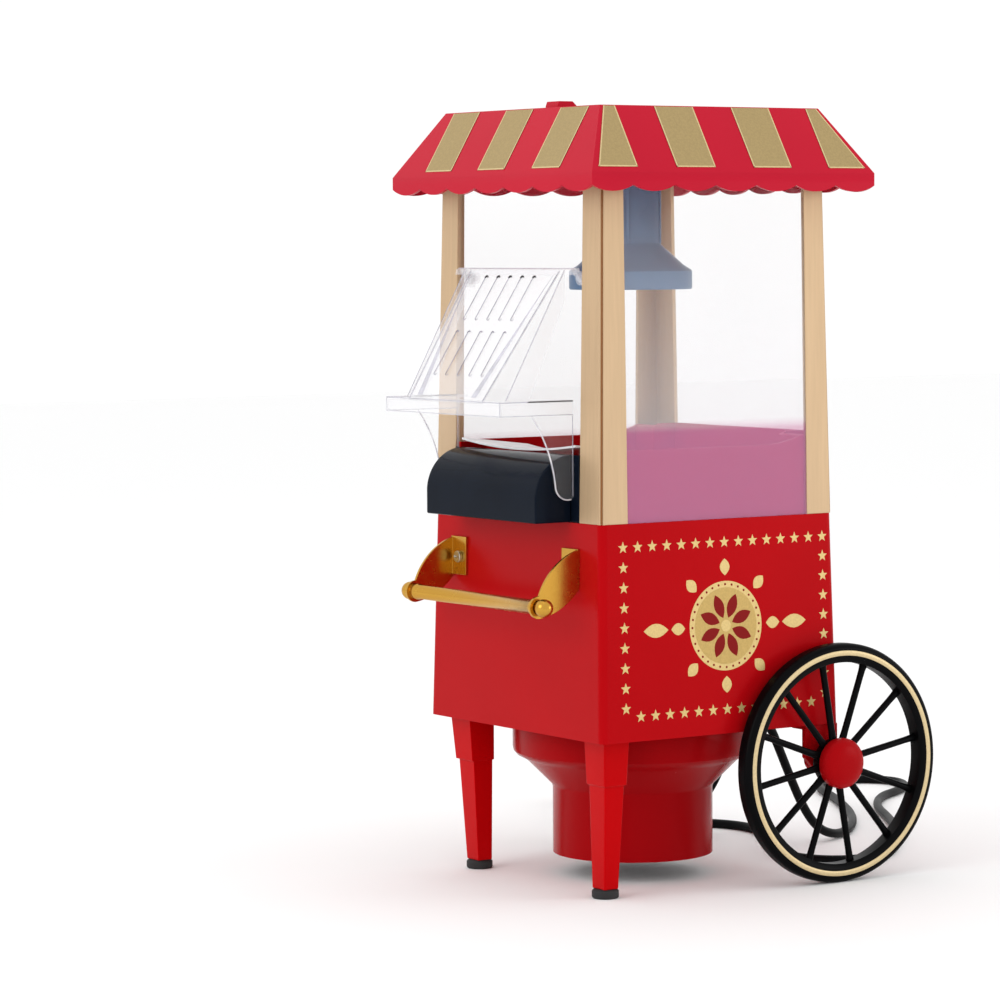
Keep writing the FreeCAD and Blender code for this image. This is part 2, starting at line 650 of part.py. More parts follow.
def popper_base():
    outside = [(44.2, BASE_BOTTOM), (44.2, 49.5), (59.5, 64.8), (65.2, 68), (66.4, 70.5), (66.4, 84),
               (65.2, 85.6)]
    inside = [(62.8, 85.6), (62.8, 69.6), (57.8, 66.7), (42, 50.6), (42, BASE_BOTTOM)]
    return turned(outside + inside)


def base_grille():
    """Vented disc that closes the base and lets the fan draw air."""
    disc = cylinder(42, (0, 0, 12.4), (0, 0, 14.6))
    slots = []
    for ring, count in ((17, 8), (29, 14)):
        for number in range(count):
            slot = box((ring - 4.5, -1.5, 10), (ring + 4.5, 1.5, 16))
            slot.rotate(Vector(0, 0, 0), Vector(0, 0, 1), number * 360 / count)
            slots.append(slot)
    disc = disc.cut(slots[0].multiFuse(slots[1:]))
    for x, y in grille_screw_places():
        disc = disc.cut(cylinder(1.4, (x, y, 10), (x, y, 16)))
    return disc


def grille_screw_places():
    return [(37.5 * math.cos(math.radians(a)), 37.5 * math.sin(math.radians(a))) for a in (90, 210, 330)]


def base_screws():
    screws = []
    for x, y in grille_screw_places():
        screws.append(cylinder(2.6, (x, y, 11.4), (x, y, 12.4)).fuse(cylinder(1.4, (x, y, 12.4), (x, y, 22))))
    return Part.makeCompound(screws)


def motor():
    can = turned([(0, 19), (15, 19), (16, 20), (16, 46), (4, 46), (4, 48.5), (0, 48.5)])
    return can.cut(cylinder(1.5 + RUNNING_FIT, (0, 0, 42), (0, 0, 50)))


def motor_mount():
    plate = tube(42, 4.0, (0, 0, 46), (0, 0, 48))
    for number in range(6):
        x, y = 29 * math.cos(math.radians(60 * number)), 29 * math.sin(math.radians(60 * number))
        plate = plate.cut(cylinder(8, (x, y, 40), (x, y, 60)))
    return plate


def fan_shaft():
    return cylinder(1.5, (0, 0, 42.4), (0, 0, 74))


def fan_impeller():
    disc = tube(37, 1.5, (0, 0, 58), (0, 0, 60))
    hub = tube(6, 1.5, (0, 0, 58), (0, 0, 70))
    blades = []
    for number in range(12):
        blade = box((5.5, -0.7, 60), (36, 0.7, 71))
        blade.rotate(Vector(0, 0, 0), Vector(0, 0, 1), number * 30)
        blades.append(blade)
    hub_and_blades = joined([disc, hub] + blades)
    return hub_and_blades.cut(cylinder(1.5, (0, 0, 50), (0, 0, 80)))


def heating_coil():
    rings = [Part.makeTorus(26, 1.3, Vector(0, 0, z)) for z in HEATER_RINGS]
    lead = cylinder(1.0, (0, 26, HEATER_RINGS[0]), (0, 26, HEATER_RINGS[-1]))
    return joined(rings + [lead])


def coil_frame():
    """Crossed mica plates that carry the heating wire."""
    plates = joined([box((-34, -0.6, 91), (34, 0.6, 117)), box((-0.6, -34, 91), (0.6, 34, 117))])
    return plates.cut(heating_coil())


def air_jacket():
    jacket = tube(JACKET_RADIUS, JACKET_RADIUS - 1.2, (0, 0, 88), (0, 0, 198.2))
    return joined([jacket, tube(55, JACKET_RADIUS - 1.2, (0, 0, 88), (0, 0, 89.4))])


def popping_chamber():
    radius = CHAMBER_RADIUS
    cup = turned([(0, 120), (radius - 3, 120), (radius, 123), (radius, 228), (radius - 1.2, 228),
                  (radius - 1.2, 123.4), (radius - 3.4, 121.2), (0, 121.2)])
    for number in range(12):
        louvre = box((radius - 4, -1.2, 126), (radius + 2, 1.2, 142))
        louvre.rotate(Vector(0, 0, 0), Vector(0, 0, 1), number * 30)
        cup = cup.cut(louvre)
    return cup


def thermostat():
    can = cylinder(8, (JACKET_RADIUS + 1.5, 0, 150), (JACKET_RADIUS + 8, 0, 150))
    pads = box((JACKET_RADIUS, -11, 145), (JACKET_RADIUS + 1.5, 11, 155))
    around = cylinder(JACKET_RADIUS, (0, 0, 140), (0, 0, 160))
    tabs = [box((JACKET_RADIUS + 8, y - 2.4, 149.6), (JACKET_RADIUS + 14, y + 2.4, 150.4)) for y in (-4, 4)]
    return joined([can, pads] + tabs).cut(around)


def thermal_fuse():
    barrel = cylinder(2, (-JACKET_RADIUS - 2, -6, 150), (-JACKET_RADIUS - 2, 6, 150))
    leads = cylinder(0.6, (-JACKET_RADIUS - 2, -16, 150), (-JACKET_RADIUS - 2, 16, 150))
    return joined([barrel, leads])


def circuit_board():
    board = box((20, 60, 96), (62, 61.6, 128))
    parts = [cylinder(4, (30, 60, 108), (30, 50, 108)), box((40, 54, 100), (50, 60, 112)),
             box((40, 55, 116), (58, 60, 122))]
    posts = [cylinder(2, (x, 61.6, z), (x, 75.9, z)) for x in (23, 59) for z in (99, 125)]
    return joined([board] + parts + posts)


# Switch, cord and plug

def switch_housing():
    x, z = SWITCH_CENTRE
    half_x, half_z = SWITCH_CUTOUT
    back = cabinet_half(z)[1] + 0.2
    case = box((x - half_x, 58, z - half_z), (x + half_x, back, z + half_z))
    bezel = box((x - half_x - 2, back, z - half_z - 2), (x + half_x + 2, back + 2, z + half_z + 2))
    well = box((x - half_x + 1.6, 66, z - half_z + 1.6), (x + half_x - 1.6, back + 3, z + half_z - 1.6))
    tabs = [box((x + dx - 2.4, 51, z - 0.4), (x + dx + 2.4, 58, z + 0.4)) for dx in (-6, 6)]
    pivot = cylinder(1.2, (x - half_x + 1, back - 3, z), (x + half_x - 1, back - 3, z))
    return joined([joined([case, bezel]).cut(well), pivot] + tabs)


def switch_rocker():
    """Rocker at its off tilt, on the pin across the well."""
    x, z = SWITCH_CENTRE
    back = cabinet_half(z)[1] + 0.2
    half_x, half_z = SWITCH_CUTOUT[0] - 2.0, SWITCH_CUTOUT[1] - 2.3
    profile = [line((0, back - 6, z - half_z + 1.2), (0, back + 2.2, z - half_z)),
               arc((0, back + 2.2, z - half_z), (0, back + 0.8, z), (0, back + 2.2, z + half_z)),
               line((0, back + 2.2, z + half_z), (0, back - 6, z + half_z - 1.2)),
               line((0, back - 6, z + half_z - 1.2), (0, back - 6, z - half_z + 1.2))]
    rocker = prism_x(profile, x - half_x, x + half_x)
    rocker.rotate(Vector(x, back - 3, z), Vector(1, 0, 0), -7)
    return rocker.cut(cylinder(1.2 + RUNNING_FIT, (x - 20, back - 3, z), (x + 20, back - 3, z)))


def strain_relief():
    """Bush in the rear wall and a tapered sleeve that points out and down along the cord."""
    tip = Vector(*RELIEF_EXIT)
    start = Vector(tip.x, CABINET_LOW[1], RELIEF_HEIGHT)
    flange = cylinder(7.0, start, start + Vector(0, 1.8, 0))
    neck = cylinder(5.2, start - Vector(0, 4, 0), start)
    root = start + Vector(0, 1.0, -0.4)
    along = tip - root
    sleeve = Part.makeCone(5.0, 3.5, along.Length, root, along)
    return joined([flange, neck, sleeve])


def cord_wire(points):
    """Straight runs joined by the largest tangent arcs that the runs allow."""
    points = [Vector(*p) for p in points]
    edges, at = [], points[0]
    for before, corner, after in zip(points, points[1:], points[2:]):
        back, ahead = before - corner, after - corner
        cut = 0.45 * min(back.Length, ahead.Length)
        turn = math.pi - back.getAngle(ahead)
        back.normalize()
        ahead.normalize()
        start, end = corner + back * cut, corner + ahead * cut
        radius = cut / math.tan(turn / 2)
        middle_way = (back + ahead).normalize()
        inset = math.hypot(radius, cut) - radius
        edges.append(Part.LineSegment(at, start).toShape())
        edges.append(Part.Arc(start, corner + middle_way * inset, end).toShape())
        print(f"  cord bend radius {radius:7.1f}  turn {math.degrees(turn):5.1f}")
        at = end
    edges.append(Part.LineSegment(at, points[-1]).toShape())
    return Part.Wire(edges)


def swept(wire):
    start = wire.Edges[0].Vertexes[0].Point
    heading = wire.Edges[0].Vertexes[1].Point - start
    ring = Part.Wire(Part.makeCircle(CORD_RADIUS, start, heading))
    solid = wire.makePipeShell([ring], True, True)
    section = math.pi * CORD_RADIUS ** 2
    print(f"  cord length {wire.Length:.1f}, from volume {solid.Volume / section:.1f}")
    return solid


def coil_point(degrees, z):
    angle = math.radians(COIL_AXIS_ANGLE + degrees)
    x, y = COIL_CENTRE
    return (x + COIL_RADIUS * math.cos(angle), y + COIL_RADIUS * math.sin(angle), z)


def power_cord():
    return swept(cord_wire(CORD_ROUTE + [coil_point(180, CORD_RADIUS + 0.1)]))


def cord_coil():
    return Part.makeTorus(COIL_RADIUS, COIL_THICKNESS, Vector(*COIL_CENTRE, COIL_THICKNESS))


def cord_tail():
    start = Vector(*coil_point(90, 6.0))
    return cylinder(CORD_RADIUS, tuple(start), tuple(plug_back()))


def plug_heading():
    heading = math.radians(COIL_AXIS_ANGLE)
    return Vector(math.cos(heading), math.sin(heading), 0)


def plug_back():
    return Vector(*coil_point(90, PLUG_HEIGHT / 2)) + plug_heading() * PLUG_LEAD


def in_plug(shape):
    """Moves a shape made along +X from the origin to where the plug lies."""
    shape.rotate(Vector(0, 0, 0), Vector(0, 0, 1), COIL_AXIS_ANGLE)
    shape.translate(plug_back())
    return shape


def plug():
    sleeve = Part.makeCone(3.3, 5.0, 12, Vector(0, 0, 0), Vector(1, 0, 0))
    half = PLUG_HEIGHT / 2
    body = box((11, -10, -half), (33, 10, half))
    body = body.makeFillet(2.5, body.Edges)
    return in_plug(joined([sleeve, body]))


def plug_blades():
    blades = [box((33, y - 0.75, -3.2), (49, y + 0.75, 3.2)) for y in (-6.35, 6.35)]
    return in_plug(Part.makeCompound(blades))


def main():
    os.makedirs("parts", exist_ok=True)
    single = {
        "body_shell": body_shell(), "body_floor": body_floor(), "body_screws": body_screws(),
        "hopper": hopper(), "hopper_slide": hopper_slide(),
        "window_rear": rear_window(), "canopy": canopy(), "filler_duct": filler_duct(),
        "measuring_cup": measuring_cup(), "serving_lip": serving_lip(), "chute_hood": chute_hood(),
        "handle_bar": handle_bar(), "handle_screws": handle_screws(),
        "axle_clips": axle_clips(),
        "popper_base": popper_base(), "base_grille": base_grille(), "base_screws": base_screws(),
        "motor": motor(), "motor_mount": motor_mount(), "fan_shaft": fan_shaft(),
        "fan_impeller": fan_impeller(), "heating_coil": heating_coil(), "coil_frame": coil_frame(),
        "air_jacket": air_jacket(), "popping_chamber": popping_chamber(), "thermostat": thermostat(),
        "thermal_fuse": thermal_fuse(), "circuit_board": circuit_board(),
        "switch_housing": switch_housing(), "switch_rocker": switch_rocker(),
        "strain_relief": strain_relief(), "power_cord": power_cord(), "cord_coil": cord_coil(),
        "cord_tail": cord_tail(), "plug": plug(), "plug_blades": plug_blades(),
    }
    paired = {
        "window": side_window(), "hood_hinge": hood_hinge(), "handle_bracket": handle_bracket(),
        "leg_front": front_leg(), "foot_front": foot_pad(), "wheel_bracket": wheel_bracket(),
        "wheel": wheel(), "wheel_ring": wheel_ring(), "hub_cap": hub_cap(), "axle": stub_axle(),
    }
    for node, shape in single.items():
        save(node, shape)
    for node, shape in paired.items():
        save(node + "_right", shape)
        save(node + "_left", mirrored(shape))
    post = corner_post()
    save("post_rear_right", post)
    save("post_rear_left", mirrored(post))
    save("post_front_right", mirrored(post, False))
    save("post_front_left", mirrored(mirrored(post, False)))


main()
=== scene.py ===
import math

import bmesh
import bpy
from mathutils import Matrix, Vector
from mathutils.geometry import tessellate_polygon


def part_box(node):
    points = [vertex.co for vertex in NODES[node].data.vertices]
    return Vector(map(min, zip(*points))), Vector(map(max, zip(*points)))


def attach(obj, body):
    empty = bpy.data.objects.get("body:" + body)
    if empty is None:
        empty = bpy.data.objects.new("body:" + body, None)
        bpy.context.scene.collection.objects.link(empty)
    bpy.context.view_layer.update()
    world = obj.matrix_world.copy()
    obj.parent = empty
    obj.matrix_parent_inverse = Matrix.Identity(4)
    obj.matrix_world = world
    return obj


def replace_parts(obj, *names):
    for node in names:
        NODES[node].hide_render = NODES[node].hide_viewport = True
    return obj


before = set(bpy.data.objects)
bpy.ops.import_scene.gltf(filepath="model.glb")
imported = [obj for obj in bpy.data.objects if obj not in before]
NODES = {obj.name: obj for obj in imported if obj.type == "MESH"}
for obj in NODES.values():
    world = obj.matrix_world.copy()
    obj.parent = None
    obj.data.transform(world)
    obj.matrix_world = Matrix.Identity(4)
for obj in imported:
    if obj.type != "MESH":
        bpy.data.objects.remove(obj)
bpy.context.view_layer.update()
MM = 0.001

# The cabinet's box, and the middle of its floor plan, from which places are given
SHELL_LOW, SHELL_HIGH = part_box("body_shell")
MIDDLE = Vector((0, (SHELL_LOW.y + SHELL_HIGH.y) / 2, 0))


# ---- camera, light and floor

VIEW_AZIMUTH, VIEW_DOWN, VIEW_ROLL = 56.46, 3.82, -0.35  # degrees
VIEW_PLACE = (1.71673, -1.22492, 0.34775)  # metres from the middle of the cabinet
LENS, SENSOR_WIDTH, SIGHT_END = 137.97, 36.0, 20
WORLD_STRENGTH = 1.03
FLOOR_SIZE = 12
# Name, place, aim, size, watts and strength of its highlights
LIGHTS = (
    ("key", (0.1, -2.1, 1.1), (0, 0, 0.2), (1.2, 1.2), 9, 1.0),
    ("side", (1.6, 1.6, 0.45), (0, 0, 0.15), (0.7, 0.7), 5, 0.1),
    ("top", (0, 0, 2.2), (0, 0, 0), (1.6, 1.6), 3, 1.0),
)


def add_camera():
    """The viewpoint: from the front right, just above the top of the hood."""
    azimuth, down, roll = (math.radians(angle) for angle in (VIEW_AZIMUTH, VIEW_DOWN, VIEW_ROLL))
    back = Vector((math.sin(azimuth) * math.cos(down), -math.cos(azimuth) * math.cos(down), math.sin(down)))
    right = Vector((math.cos(azimuth), math.sin(azimuth), 0))
    up = back.cross(right)
    tilted_right = right * math.cos(roll) + up * math.sin(roll)
    tilted_up = up * math.cos(roll) - right * math.sin(roll)
    data = bpy.data.cameras.new("camera")
    data.lens, data.sensor_width = LENS, SENSOR_WIDTH
    data.clip_end = SIGHT_END
    camera = bpy.data.objects.new("camera", data)
    turn = Matrix((tilted_right, tilted_up, back)).transposed().to_4x4()
    camera.matrix_world = Matrix.Translation(Vector(VIEW_PLACE) + MIDDLE) @ turn
    bpy.context.scene.collection.objects.link(camera)
    bpy.context.scene.camera = camera


def add_light(name, place, aim, size, watts, gloss):
    data = bpy.data.lights.new(name, "AREA")
    data.shape, data.size, data.size_y, data.energy = "RECTANGLE", size[0], size[1], watts
    data.specular_factor = gloss
    light = bpy.data.objects.new(name, data)
    light.location = place
    light.rotation_euler = (Vector(aim) - Vector(place)).to_track_quat("-Z", "Y").to_euler()
    bpy.context.scene.collection.objects.link(light)


def add_studio():
    world = bpy.data.worlds.new("studio")
    bpy.context.scene.world = world
    world.use_nodes = True
    background = world.node_tree.nodes["Background"]
    background.inputs["Color"].default_value = (1.0, 1.0, 1.0, 1)
    background.inputs["Strength"].default_value = WORLD_STRENGTH
    for light in LIGHTS:
        add_light(*light)
    bpy.ops.mesh.primitive_plane_add(size=FLOOR_SIZE, location=(0, 0, 0))
    floor = bpy.context.object
    floor.name = "floor"
    floor.data.materials.append(plain_floor())
    bpy.context.scene.view_settings.view_transform = "Standard"


# ---- materials

BUMP_DEPTH = 0.0002  # metres


class Surface:
    """A Principled material with helpers that add procedural detail to it."""

    def __init__(self, name, colour, roughness, **sockets):
        self.material = bpy.data.materials.new(name)
        self.material.use_nodes = True
        self.tree = self.material.node_tree
        self.shader = self.tree.nodes["Principled BSDF"]
        self.colour = colour
        self.set("Base Color", (*colour, 1))
        self.set("Roughness", roughness)
        for socket, value in sockets.items():
            self.set(socket.replace("_", " "), value)

    def set(self, socket, value):
        self.shader.inputs[socket].default_value = value

    def node(self, kind, **values):
        made = self.tree.nodes.new("ShaderNode" + kind)
        for name, value in values.items():
            made.inputs[name].default_value = value
        return made

    def link(self, a, b):
        self.tree.links.new(a, b)

    def place(self, stretch):
        """Object coordinates, so that the grain has one scale on every piece."""
        coordinates = self.node("TexCoord")
        mapping = self.node("Mapping", Scale=stretch)
        self.link(coordinates.outputs["Object"], mapping.inputs["Vector"])
        return mapping.outputs["Vector"]

    def noise(self, scale, detail, stretch):
        noise = self.node("TexNoise", Scale=scale, Detail=detail)
        self.link(self.place(stretch), noise.inputs["Vector"])
        return noise.outputs["Fac"]

    def ramp(self, factor, low, high, span=(0.35, 0.65)):
        ramp = self.node("ValToRGB")
        for element, at, colour in zip(ramp.color_ramp.elements, span, (low, high)):
            element.position = at
            element.color = (*colour, 1)
        self.link(factor, ramp.inputs["Fac"])
        return ramp.outputs["Color"]

    def vary_colour(self, scale, darker, lighter, stretch=(1, 1, 1)):
        low = [c * darker for c in self.colour]
        high = [min(1, c * lighter) for c in self.colour]
        self.link(self.ramp(self.noise(scale, 4.0, stretch), low, high), self.shader.inputs["Base Color"])
        return self

    def vary_roughness(self, scale, low, high, stretch=(1, 1, 1)):
        spread = self.node("MapRange", **{"To Min": low, "To Max": high})
        self.link(self.noise(scale, 5.0, stretch), spread.inputs["Value"])
        self.link(spread.outputs["Result"], self.shader.inputs["Roughness"])
        return self

    def bumps(self, scale, strength, stretch=(1, 1, 1)):
        bump = self.node("Bump", Strength=strength, Distance=BUMP_DEPTH)
        self.link(self.noise(scale, 6.0, stretch), bump.inputs["Height"])
        self.link(bump.outputs["Normal"], self.shader.inputs["Normal"])
        return self


RED_SHEEN = (1.0, 0.16, 0.18, 1)


def gloss_red(name, colour):
    surface = Surface(name, colour, 0.26, Specular_IOR_Level=0.09, Specular_Tint=RED_SHEEN)
    return surface.vary_colour(14, 0.97, 1.03).vary_roughness(60, 0.2, 0.3).bumps(900, 0.03).material


def satin_red(name, colour):
    surface = Surface(name, colour, 0.34, Specular_IOR_Level=0.12, Specular_Tint=RED_SHEEN)
    return surface.vary_colour(12, 0.97, 1.03).vary_roughness(55, 0.28, 0.38).bumps(800, 0.04).material


def gold_paint(name, colour, roughness=0.42):
    """Satin gold with the fine speckle of metal flake."""
    surface = Surface(name, colour, roughness, Metallic=0.3, Specular_IOR_Level=0.2)
    surface.vary_colour(900, 0.93, 1.06).vary_roughness(90, roughness - 0.05, roughness + 0.07)
    return surface.bumps(1500, 0.08).material


def brushed_gold(name, colour):
    """Champagne gold paint with a faint lengthwise brush grain."""
    surface = Surface(name, colour, 0.4, Metallic=0.3, Specular_IOR_Level=0.2)
    surface.vary_colour(500, 0.965, 1.03, (1, 1, 0.05)).vary_roughness(300, 0.34, 0.48, (1, 1, 0.04))
    return surface.bumps(1300, 0.08).material


def black_gloss(name, colour, roughness, sheen=0.1):
    surface = Surface(name, colour, roughness, Specular_IOR_Level=sheen)
    return surface.vary_colour(40, 0.9, 1.12).vary_roughness(70, roughness - 0.05, roughness + 0.08) \
        .bumps(1000, 0.05).material


def clear_sheet(name, face_on, aslant):
    """Clear styrene: nearly unseen face on, whiter where the sheet turns away."""
    surface = Surface(name, (0.97, 0.97, 1.0), 0.05, Specular_IOR_Level=0.4)
    facing = surface.node("LayerWeight", Blend=0.3)
    cover = surface.node("MapRange", **{"To Min": face_on, "To Max": aslant})
    surface.link(facing.outputs["Facing"], cover.inputs["Value"])
    surface.link(cover.outputs["Result"], surface.shader.inputs["Alpha"])
    return surface.vary_roughness(40, 0.02, 0.09).material


def clear_edge(name, colour, alpha):
    """The same styrene along its edges, where light gathers and they show as lines."""
    surface = Surface(name, colour, 0.2, Alpha=alpha, Specular_IOR_Level=0.3)
    return surface.vary_colour(160, 0.75, 1.25).material


HAZE_LOW, HAZE_HIGH = 0.20, 0.40  # heights in metres between which the haze changes
FILM_EDGE = 0.015  # half the film's soft upper edge, as a share of that span
HAZE_ABOVE_FILM = 0.15
# The rose is painted glow of the red inside of the cabinet seen through the sheet; the pale haze is the sheet's
# own
PAINTED_ROSE_GLOW, PANE_CLEAR = (0.66, 0.26, 0.46), (0.97, 0.96, 1.0)


def hazy_pane(name, film_top, film):
    """Clear sheet with a film of haze, thinning towards the top; up to a height in metres it is tinted rose, a
    painted glow of the red inside of the cabinet behind it.
    """
    surface = Surface(name, PANE_CLEAR, 0.25, Specular_IOR_Level=0.2)
    coordinates = surface.node("TexCoord")
    split = surface.node("SeparateXYZ")
    height = surface.node("MapRange", **{"From Min": HAZE_LOW, "From Max": HAZE_HIGH})
    surface.link(coordinates.outputs["Object"], split.inputs["Vector"])
    surface.link(split.outputs["Z"], height.inputs["Value"])
    edge = (film_top - HAZE_LOW) / (HAZE_HIGH - HAZE_LOW)
    span = (edge - FILM_EDGE, edge + FILM_EDGE)
    cover = surface.node("ValToRGB")
    stops = cover.color_ramp.elements
    stops[0].position, stops[0].color = span[0], (film, film, film, 1)
    stops[1].position, stops[1].color = span[1], (HAZE_ABOVE_FILM, HAZE_ABOVE_FILM, HAZE_ABOVE_FILM, 1)
    for place, amount in ((0.65, 0.07), (0.9, 0.02)):
        stops.new(place).color = (amount, amount, amount, 1)
    surface.link(height.outputs["Result"], cover.inputs["Fac"])
    surface.link(cover.outputs["Color"], surface.shader.inputs["Alpha"])
    tint = surface.ramp(height.outputs["Result"], PAINTED_ROSE_GLOW, PANE_CLEAR, span)
    surface.link(tint, surface.shader.inputs["Base Color"])
    return surface.vary_roughness(30, 0.18, 0.34).material


def metal(name, colour, roughness, stretch=(1, 1, 1)):
    surface = Surface(name, colour, roughness, Metallic=1.0)
    surface.vary_roughness(220, roughness - 0.08, roughness + 0.1, stretch)
    return surface.bumps(700, 0.06, stretch).material


def moulded(name, colour, roughness=0.5, grain=0.12):
    surface = Surface(name, colour, roughness)
    return surface.vary_colour(30, 0.9, 1.1).vary_roughness(80, roughness - 0.07, roughness + 0.08) \
        .bumps(1400, grain).material


def plain_floor():
    return Surface("floor_paper", (0.96, 0.96, 0.96), 0.8, Specular_IOR_Level=0.1).bumps(60, 0.02).material


def lacquer(name, colour):
    return Surface(name, colour, 0.35, Coat_Weight=0.3).vary_colour(400, 0.7, 1.4).material


def flaky(name, colour):
    return Surface(name, colour, 0.4).vary_colour(90, 0.75, 1.15).bumps(300, 0.2).material


# What makes each material, and what it is given after the name
RECIPES = {
    "gloss_red": (gloss_red, (0.43, 0.0025, 0.005)),
    "canopy_red": (satin_red, (0.50, 0.011, 0.030)),
    # painted shade: a darker copy of the cabinet red for the drum under the cabinet
    "cap_red": (gloss_red, (0.36, 0.003, 0.005)),
    "base_red": (gloss_red, (0.34, 0.003, 0.005)),
    "post_gold": (brushed_gold, (0.565, 0.395, 0.235)),
    "stripe_gold": (gold_paint, (0.39, 0.285, 0.125)),
    # painted highlight: the paler lines along the stripes' raised edges, where light catches them
    "stripe_edge": (gold_paint, (0.66, 0.52, 0.27)),
    "foil_gold": (gold_paint, (0.64, 0.47, 0.19), 0.35),
    "foil_bronze": (gold_paint, (0.50, 0.34, 0.11), 0.34),
    "print_red": (gloss_red, (0.22, 0.012, 0.012)),
    "ring_gold": (gold_paint, (0.66, 0.52, 0.29), 0.34),
    "clear_hood": (clear_sheet, 0.16, 0.42),
    "clear_skirt": (clear_sheet, 0.02, 0.12),
    "bright_edge": (clear_edge, (0.80, 0.78, 0.88), 0.75),
    "clear_edge": (clear_edge, (0.44, 0.43, 0.51), 0.55),
    # painted shade: dark lines for the heads of the upper slots and the back of the ledge's top edge
    "dark_edge": (clear_edge, (0.05, 0.045, 0.05), 0.85),
    "clear_crease": (clear_edge, (0.46, 0.45, 0.56), 0.30),
    # film tops at the hopper's rim, under which the panes carry the painted rose glow
    "hazy_pane": (hazy_pane, 0.251, 0.36),
    "clear_pane": (hazy_pane, 0.240, 0.30),
    "slate": (black_gloss, (0.115, 0.20, 0.335), 0.34),
    "lip_black": (black_gloss, (0.004, 0.007, 0.014), 0.14, 0.06),
    "pale": (moulded, (0.80, 0.81, 0.83), 0.3, 0.04),
    "brass": (metal, (0.57, 0.31, 0.05), 0.24),
    "rubber": (moulded, (0.012, 0.012, 0.013), 0.7, 0.3),
    "wheel_black": (black_gloss, (0.0016, 0.0016, 0.002), 0.34, 0.05),
    "steel": (metal, (0.56, 0.56, 0.57), 0.32),
    "black_moulding": (moulded, (0.018, 0.018, 0.020), 0.5),
    "rocker_black": (moulded, (0.014, 0.014, 0.016), 0.35, 0.05),
    "nichrome": (metal, (0.36, 0.31, 0.28), 0.45),
    "mica_sheet": (flaky, (0.60, 0.52, 0.38)),
    "aluminium": (metal, (0.80, 0.80, 0.81), 0.3, (1, 1, 12)),
    "circuit_green": (lacquer, (0.02, 0.16, 0.06)),
    "cord_black": (black_gloss, (0.003, 0.003, 0.0035), 0.4, 0.08),
    # painted light: a lighter copy of the cabinet red that brightens the legs in the shade under the cabinet
    "leg_red": (gloss_red, (0.50, 0.0015, 0.003)),
    # painted shade: the dark brown of the shade that falls in the posts' grooves
    "groove_brown": (gold_paint, (0.26, 0.10, 0.03)),
}
MATERIALS = {name: make(name, *given) for name, (make, *given) in RECIPES.items()}


# ---- mesh helpers

def add_piece(name, vertices, faces, material, body="root", slot=None, sharp=35):
    """A mesh piece in the row frame, smooth except at edges sharper than that angle."""
    mesh = bpy.data.meshes.new(name)
    mesh.from_pydata([Vector(v) for v in vertices], [], faces)
    mesh.validate()
    bm = bmesh.new()
    bm.from_mesh(mesh)
    bmesh.ops.remove_doubles(bm, verts=bm.verts, dist=1e-6)
    bmesh.ops.recalc_face_normals(bm, faces=bm.faces)
    bm.to_mesh(mesh)
    bm.free()
    mesh.shade_smooth()
    mesh.set_sharp_from_angle(angle=math.radians(sharp))
    piece = bpy.data.objects.new(name, mesh)
    bpy.context.scene.collection.objects.link(piece)
    mesh.materials.append(MATERIALS[material])
    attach(piece, body)
    return piece


def soften(piece, width, segments, angle=30):
    """Rounds a piece's hard edges by that many millimetres."""
    bevel = piece.modifiers.new("bevel", "BEVEL")
    bevel.width, bevel.segments = width * MM, segments
    bevel.limit_method, bevel.angle_limit = "ANGLE", math.radians(angle)
    bevel.use_clamp_overlap = True
    piece.modifiers.new("weighted", "WEIGHTED_NORMAL")
    return piece


def dress_node(name, material, width):
    """Gives a CAD node its material and, where the width isn't 0, rounded edges."""
    node = NODES[name]
    for index in range(len(node.data.materials)):
        node.data.materials[index] = MATERIALS[material]
    if not node.data.materials:
        node.data.materials.append(MATERIALS[material])
    if width:
        weld = node.modifiers.new("weld", "WELD")
        weld.merge_threshold = 1e-5
        flatten = node.modifiers.new("flatten", "DECIMATE")
        flatten.decimate_type, flatten.angle_limit = "DISSOLVE", math.radians(0.5)
        soften(node, width, 2, 40)


def lathe(profile, origin, axis, steps):
    """Vertices and faces of an outline of (radius, height) millimetres turned about an axis."""
    turn = Vector((0, 0, 1)).rotation_difference(Vector(axis)).to_matrix()
    vertices, faces = [], []
    for a in whole_turn(steps):
        for r, h in profile:
            spot = turn @ Vector((r * math.cos(a), r * math.sin(a), h))
            vertices.append(Vector(origin) + spot * MM)
    n = len(profile)
    for k in range(steps):
        for i in range(n):
            a, b = k * n, (k + 1) % steps * n
            j = (i + 1) % n
            faces.append((a + i, a + j, b + j, b + i))
    return vertices, faces


def rounded(points, radius, steps=4):
    """A closed outline with each corner replaced by a short curve of about that radius."""
    out = []
    n = len(points)
    for i in range(n):
        p, before, after = Vector(points[i]), Vector(points[i - 1]), Vector(points[(i + 1) % n])
        reach = min(radius, (before - p).length * 0.45, (after - p).length * 0.45)
        start = p + (before - p).normalized() * reach
        end = p + (after - p).normalized() * reach
        for s in range(steps + 1):
            t = s / steps
            out.append(tuple(start * (1 - t) ** 2 + p * 2 * t * (1 - t) + end * t ** 2))
    return out


def prism(outline, low, high, place):
    """An outline carried from low to high; place turns (u, v, w) into the row frame."""
    n = len(outline)
    vertices = [place(u, v, w) for w in (low, high) for u, v in outline]
    faces = [tuple(range(n - 1, -1, -1)), tuple(range(n, 2 * n))]
    faces += [(i, (i + 1) % n, n + (i + 1) % n, n + i) for i in range(n)]
    return vertices, faces


def merged(parts):
    """Several (vertices, faces) as one."""
    vertices, faces = [], []
    for some, their in parts:
        start = len(vertices)
        vertices += some
        faces += [tuple(start + i for i in face) for face in their]
    return vertices, faces


